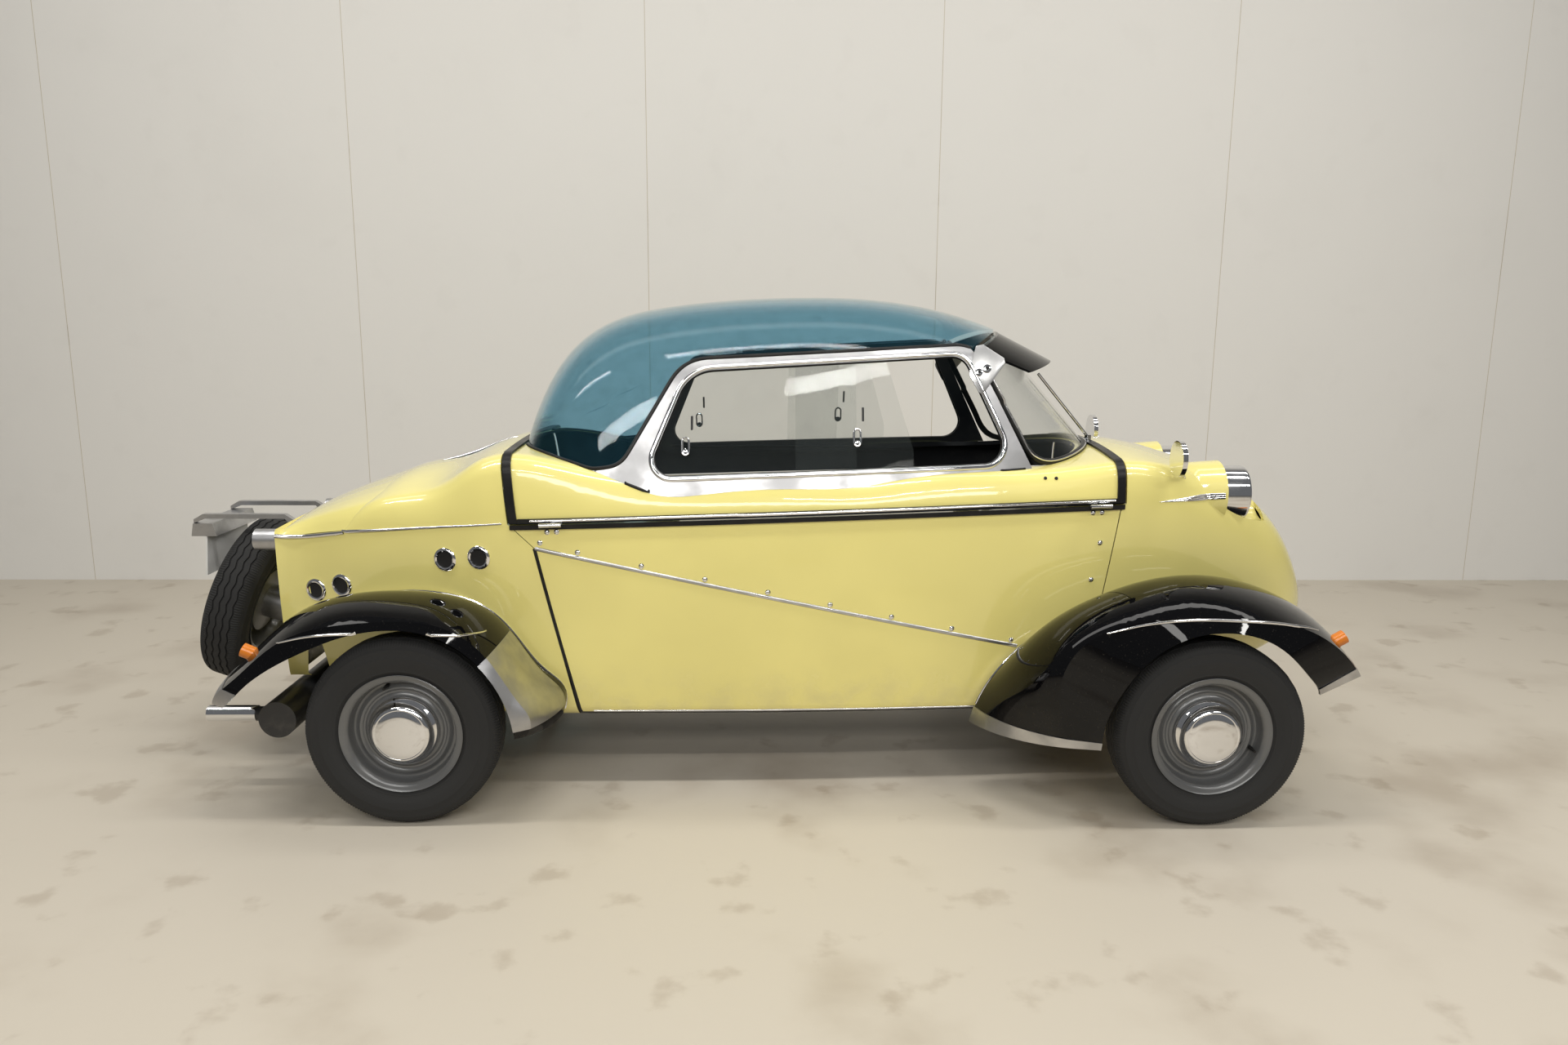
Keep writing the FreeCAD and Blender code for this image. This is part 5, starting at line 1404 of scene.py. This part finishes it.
    def pane_fittings(self) -> None:
        """Finger pulls and slots of the sliding panes."""
        skin = Skin("side_glass")
        for side, sign in SIDES.items():
            for number, (x, z) in enumerate(self.pulls):
                spot, normal = skin.beside(x, z, sign)
                rise = Vector((0, -normal.z * sign, normal.y * sign)).normalized()
                hoop = []
                for degrees in range(0, 361, 15):
                    turn = math.radians(degrees)
                    tall = 0.010 * math.sin(turn) + (0.011 if math.sin(turn) > 0 else -0.011)
                    hoop.append(spot + normal * 0.004 + Vector((0.0085 * math.cos(turn), 0, 0))
                                + rise * tall)
                put(Bench.wire(f"pane_pull_{side}_{number}", hoop[:-1], 0.0026, True),
                    Finishes.CHROME, "canopy")
                put(Bench.bar(f"pane_stud_{side}_{number}", spot + rise * -0.012,
                              spot + rise * -0.012 + normal * 0.006, 0.006), Finishes.CHROME, "canopy")
                high, _ = skin.beside(x + 0.015, z + 0.056, sign)
                put(Bench.wire(f"pane_slot_{side}_{number}",
                               [high + rise * step + normal * 0.0006 for step in (-0.017, 0.0, 0.017)],
                               0.0028), Finishes.PLASTIC, "canopy")

    def build(self) -> None:
        """Finish the canopy's pieces and add its trims."""
        dress("dome", Finishes.DOME)
        dress("windscreen", Finishes.GLASS)
        dress("side_glass", Finishes.GLASS)
        lined_copy("window_frames", "polished_window_frames", Finishes.ALLOY, Finishes.LINING, "canopy",
                   lambda middle, normal: normal.dot(Vector((0, middle.y, (middle.z - 0.9) * 0.5))) < 0)
        dress("canopy_seals", Finishes.SEAL)
        dress("sun_visor", Finishes.SMOKE)
        dress("wiper", Finishes.CHROME)
        dress("hinge_leaves", Finishes.CHROME)
        self.window_trims()
        self.foot_seals()
        self.belt_filler()
        self.plates()
        self.pane_fittings()


@dataclass
class Lamps:
    """Headlamps, tail lamps and mirrors."""

    face_x: float = 1.1733
    lamp_y: float = 0.220
    lamp_z: float = 0.745
    scoop_radius: float = 0.0731
    scoop_end: float = 1.306

    def headlamps(self) -> None:
        """Deep bezels with bowls and fluted lenses."""
        bezel = Bench.turned("bezel_pattern", [
            (0.0700, 0.0), (0.0720, 0.0015), (0.0720, 0.0590), (0.0718, 0.0625), (0.0705, 0.0655),
            (0.0680, 0.0668), (0.0655, 0.0660), (0.0640, 0.0635), (0.0632, 0.0600), (0.0632, 0.0540),
            (0.0640, 0.0500), (0.0640, 0.0), (0.0700, 0.0)], 96)
        bowl = Bench.turned("bowl_pattern", [
            (0.0, 0.012), (0.020, 0.014), (0.040, 0.022), (0.054, 0.034), (0.0625, 0.050),
            (0.0637, 0.050), (0.0637, 0.0), (0.0, 0.0)], 64)
        lens = Bench.turned("lamp_lens_pattern", [
            (0.0, 0.0655), (0.020, 0.0645), (0.040, 0.0615), (0.054, 0.0575), (0.0630, 0.0530),
            (0.0630, 0.0505), (0.054, 0.0545), (0.040, 0.0585), (0.020, 0.0615), (0.0, 0.0625)], 64)
        for side, sign in SIDES.items():
            place = Matrix.Translation((self.face_x, sign * self.lamp_y, self.lamp_z)) \
                @ Matrix.Rotation(math.radians(-90), 4, "Z")
            nodes = ("headlamps",) if sign > 0 else ()
            put(Bench.copy(bezel, f"headlamp_bezel_{side}", place), Finishes.CHROME, "chassis", *nodes)
            put(Bench.copy(bowl, f"headlamp_bowl_{side}", place), Finishes.CHROME)
            put(Bench.copy(lens, f"headlamp_lens_{side}", place), Finishes.LAMP)
        for pattern in (bezel, bowl, lens):
            bpy.data.objects.remove(pattern)

    def scoops(self) -> None:
        """Yellow troughs in the nose ahead of the headlamps."""
        nose = Skin("nose_shell")
        radius = self.scoop_radius
        for side, sign in SIDES.items():
            centre = sign * self.lamp_y
            rows = []
            for x in np.linspace(self.face_x + 0.004, self.scoop_end, 26):
                reach = []
                for way in (-1, 1):
                    angle = 90.0
                    while angle > 1.0:
                        turn = math.radians(angle)
                        z = self.lamp_z - radius * math.cos(turn)
                        y = centre + way * (radius * math.sin(turn) + 0.0022)
                        spot = nose.tree.ray_cast(Vector((float(x), y, 3.0)), Vector((0, 0, -1)))[0]
                        if spot is not None and z <= spot.z + 0.0004:
                            break
                        angle -= 1.0
                    reach.append(way * angle)
                turns = np.radians(np.linspace(reach[0], reach[1], 19))
                rows.append([Vector((float(x), centre + radius * math.sin(turn),
                                     self.lamp_z - radius * math.cos(turn))) for turn in turns])
            put(Bench.sheet(f"lamp_scoop_{side}", rows, 0.002), Finishes.YELLOW)

    def build(self) -> None:
        """Make the lamps."""
        self.headlamps()
        self.scoops()
        dress("tail_lamps", Finishes.ALLOY)
        dress("mirrors", Finishes.CHROME)


@dataclass
class Underside:
    """Chassis, axles, engine, exhaust and spare carrier."""

    pipe_root: float = -1.262
    pipe_z: float = 0.200
    pipe_bore: float = 0.016

    def build(self) -> None:
        """Finish what lies under the body and behind it."""
        for node in ("chassis_frame", "front_axle", "rear_axle", "knuckle_left", "knuckle_right",
                     "steering_column"):
            dress(node, Finishes.CHASSIS)
        dress("engine_block", Finishes.ENGINE)
        # Black forward of the root; the rear end face within the bore is black too, as painted shade for
        # the pipe's open mouth.
        lined_copy("exhaust", "plated_tail_pipe", Finishes.CHROME, Finishes.CHASSIS, "chassis",
                   lambda middle, normal: middle.x > self.pipe_root or normal.x < -0.9
                   and abs(middle.z - self.pipe_z) < self.pipe_bore)
        dress("spare_carrier", Finishes.ALLOY)
        dress("blank_plate", Finishes.PLATE)
        dress("hinge_knuckles", Finishes.CHROME)


@dataclass
class Cabin:
    """Seats, dashboard and steering bar."""

    voxel: float = 0.006
    shrink: float = 0.008
    puff: float = 0.011
    flute_pitch: float = 0.055
    flute_depth: float = 0.0045
    flute_width: float = 0.006
    border_inset: float = 0.045
    border_width: float = 0.005
    pressure: float = 4.0
    moments: int = 20

    def pad(self, node: str) -> None:
        """One puffed seat pad with sewn flutes, in the place of its solid.

        Args:
            node: The pad's node.
        """
        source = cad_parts[node]
        piece = bpy.data.objects.new(f"sewn_{node}", source.data.copy())
        bpy.context.collection.objects.link(piece)
        Bench.close(piece, 2e-5)
        low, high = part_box(node)
        middle = (low + high) / 2
        for vertex in piece.data.vertices:
            away = vertex.co - middle
            vertex.co = middle + away * (1 - self.shrink / max(away.length, 0.05))
        Bench.modify(piece, "REMESH", mode="VOXEL", voxel_size=self.voxel, use_smooth_shade=True)
        self.inflate(piece)
        self.flutes(piece, low, high)
        Bench.modify(piece, "SMOOTH", factor=0.5, iterations=2)
        Bench.modify(piece, "SUBSURF", levels=1, render_levels=1)
        Bench.smooth(piece, 60.0)
        put(piece, Finishes.TRIM_CLOTH, "chassis", node)

    def inflate(self, piece: bpy.types.Object) -> None:
        """Blow a pad up as cloth, and hold each point to a short way."""
        rest = [vertex.co.copy() for vertex in piece.data.vertices]
        Bench.pick(piece)
        cloth = piece.modifiers.new("cloth", "CLOTH")
        cloth.settings.use_pressure = True
        cloth.settings.uniform_pressure_force = self.pressure
        cloth.settings.effector_weights.gravity = 0.0
        cloth.settings.quality = 4
        cloth.collision_settings.use_collision = False
        cloth.point_cache.frame_start = 1
        cloth.point_cache.frame_end = self.moments
        for moment in range(1, self.moments + 1):
            bpy.context.scene.frame_set(moment)
        bpy.ops.object.modifier_apply(modifier=cloth.name)
        for vertex, start in zip(piece.data.vertices, rest):
            way = vertex.co - start
            if way.length > self.puff:
                vertex.co = start + way * (self.puff / way.length)
        bpy.context.scene.frame_set(1)

    def flutes(self, piece: bpy.types.Object, low: Vector, high: Vector) -> None:
        """Press sewn lines into a pad, along the car and round its border."""
        middle_y = (low.y + high.y) / 2
        border = (high.y - low.y) / 2 - self.border_inset
        for vertex in piece.data.vertices:
            across = vertex.co.y - middle_y
            if abs(across) < border:
                off = (across / self.flute_pitch + 0.5) % 1.0 - 0.5
                depth = math.exp(-(off * self.flute_pitch / self.flute_width) ** 2)
            else:
                depth = math.exp(-((abs(across) - border) / self.border_width) ** 2)
            vertex.co -= vertex.normal * (self.flute_depth * depth)

    def build(self) -> None:
        """Finish the cabin."""
        for node in ("driver_cushion", "rear_cushion", "driver_backrest", "rear_backrest"):
            self.pad(node)
        dress("seat_stands", Finishes.CARPET)
        dress("dashboard", Finishes.PLASTIC)
        dress("steering_bar", Finishes.PLASTIC)


@dataclass
class Studio:
    """Camera, floor, backdrop and soft lamps."""

    camera_at: tuple[float, float, float] = (-0.0202, -3.0180, 1.1922)
    tilt: float = 10.6776
    yaw: float = 1.5640
    roll: float = 0.3909
    focal_px: float = 1351.72
    frame_px: float = 1920.0
    sensor: float = 36.0
    wall_y: float = 1.89
    joint_x: float = 0.77
    joint_pitch: float = 1.25
    joint_half: float = 0.0015
    ground: float = 24.0
    wall_height: float = 6.0
    air: float = 0.16
    power: float = 27.0
    wash: float = 42.0
    fill: float = 95.0
    # Places of the ceiling's tubes
    tubes: tuple = ((-2.4, -0.9, 3.3), (0.0, -0.9, 3.3), (2.4, -0.9, 3.3),
                    (-1.6, -3.4, 3.1), (1.0, -3.4, 3.1), (3.0, -3.0, 3.1))

    def camera(self) -> None:
        """The camera at the photograph's place."""
        made = bpy.data.cameras.new("camera")
        made.sensor_fit = "HORIZONTAL"
        made.sensor_width = self.sensor
        made.lens = self.focal_px / self.frame_px * self.sensor
        made.clip_start = 0.05
        item = bpy.data.objects.new("camera", made)
        bpy.context.scene.collection.objects.link(item)
        tilt, yaw, roll = (math.radians(angle) for angle in (self.tilt, self.yaw, self.roll))
        ahead = Vector((math.sin(yaw) * math.cos(tilt), math.cos(yaw) * math.cos(tilt),
                        -math.sin(tilt)))
        level = Vector((math.cos(yaw), -math.sin(yaw), 0.0))
        upright = level.cross(ahead)
        right = level * math.cos(roll) + upright * math.sin(roll)
        up = upright * math.cos(roll) - level * math.sin(roll)
        turn = Matrix((right, up, -ahead)).transposed().to_4x4()
        item.matrix_world = Matrix.Translation(self.camera_at) @ turn
        bpy.context.scene.camera = item

    def lamp(self, name: str, at: Sequence[float], aim: Sequence[float], size: tuple[float, float],
             power: float, tone: Colour = (1.0, 0.98, 0.94)) -> None:
        """One soft lamp that looks at a point."""
        made = bpy.data.lights.new(name, "AREA")
        made.shape = "RECTANGLE"
        made.size, made.size_y = size
        made.energy = power
        made.color = tone
        item = bpy.data.objects.new(name, made)
        bpy.context.scene.collection.objects.link(item)
        turn = (Vector(at) - Vector(aim)).to_track_quat("Z", "Y").to_matrix().to_4x4()
        item.matrix_world = Matrix.Translation(at) @ turn

    def plane(self, name: str, depth: float, place: Matrix, finish: Finish) -> bpy.types.Object:
        """The floor or the wall, as wide as the ground."""
        Bench.clear()
        bpy.ops.mesh.primitive_plane_add(size=1.0)
        piece = Bench.fresh(name)
        piece.dimensions = (self.ground, depth, 0.0)
        Bench.settle(piece, place)
        piece.data.materials.append(finish.material())
        return piece

    def build(self) -> None:
        """Set up the studio."""
        self.camera()
        upright = Matrix.Translation((0, self.wall_y, self.wall_height / 2)) \
            @ Matrix.Rotation(math.radians(90), 4, "X")
        self.plane("studio_floor", self.ground, Matrix(), Finishes.FLOOR)
        self.plane("studio_wall", self.wall_height, upright, Finishes.WALL)
        for number in range(7):
            x = self.joint_x + (number - 3) * self.joint_pitch
            joint = Bench.block(f"wall_joint_{number}", (x - self.joint_half, self.wall_y - 0.0006, 0.0),
                                (x + self.joint_half, self.wall_y + 0.002, self.wall_height), 0.0003, 1)
            joint.data.materials.append(Finishes.FLOOR.material())
        world = bpy.data.worlds.new("studio_air")
        bpy.context.scene.world = world
        world.use_nodes = True
        air = world.node_tree.nodes["Background"]
        air.inputs["Color"].default_value = (0.88, 0.90, 0.93, 1.0)
        air.inputs["Strength"].default_value = self.air
        bpy.context.scene.view_settings.view_transform = "Standard"
        for number, (x, y, z) in enumerate(self.tubes):
            self.lamp(f"ceiling_tube_{number}", (x, y, z), (x, y + 0.2, 0.0), (1.5, 0.16), self.power)
        self.lamp("wall_wash", (0.0, 0.3, 3.8), (0.0, self.wall_y, 1.2), (7.0, 0.5), self.wash)
        self.lamp("behind_camera", (0.0, -5.6, 3.2), (0.0, 0.0, 0.5), (5.0, 0.7), self.fill)


def main() -> None:
    """Build the car's looks, sub-assembly by sub-assembly."""
    logging.basicConfig(level=logging.INFO, format="%(name)s: %(message)s")
    for part in (Studio(), Bodywork(), Mudguards(), Canopy(), Wheels(), Lamps(), Underside(), Cabin()):
        part.build()
        log.info("%s done", type(part).__name__)


if __name__ == "__main__":
    main()
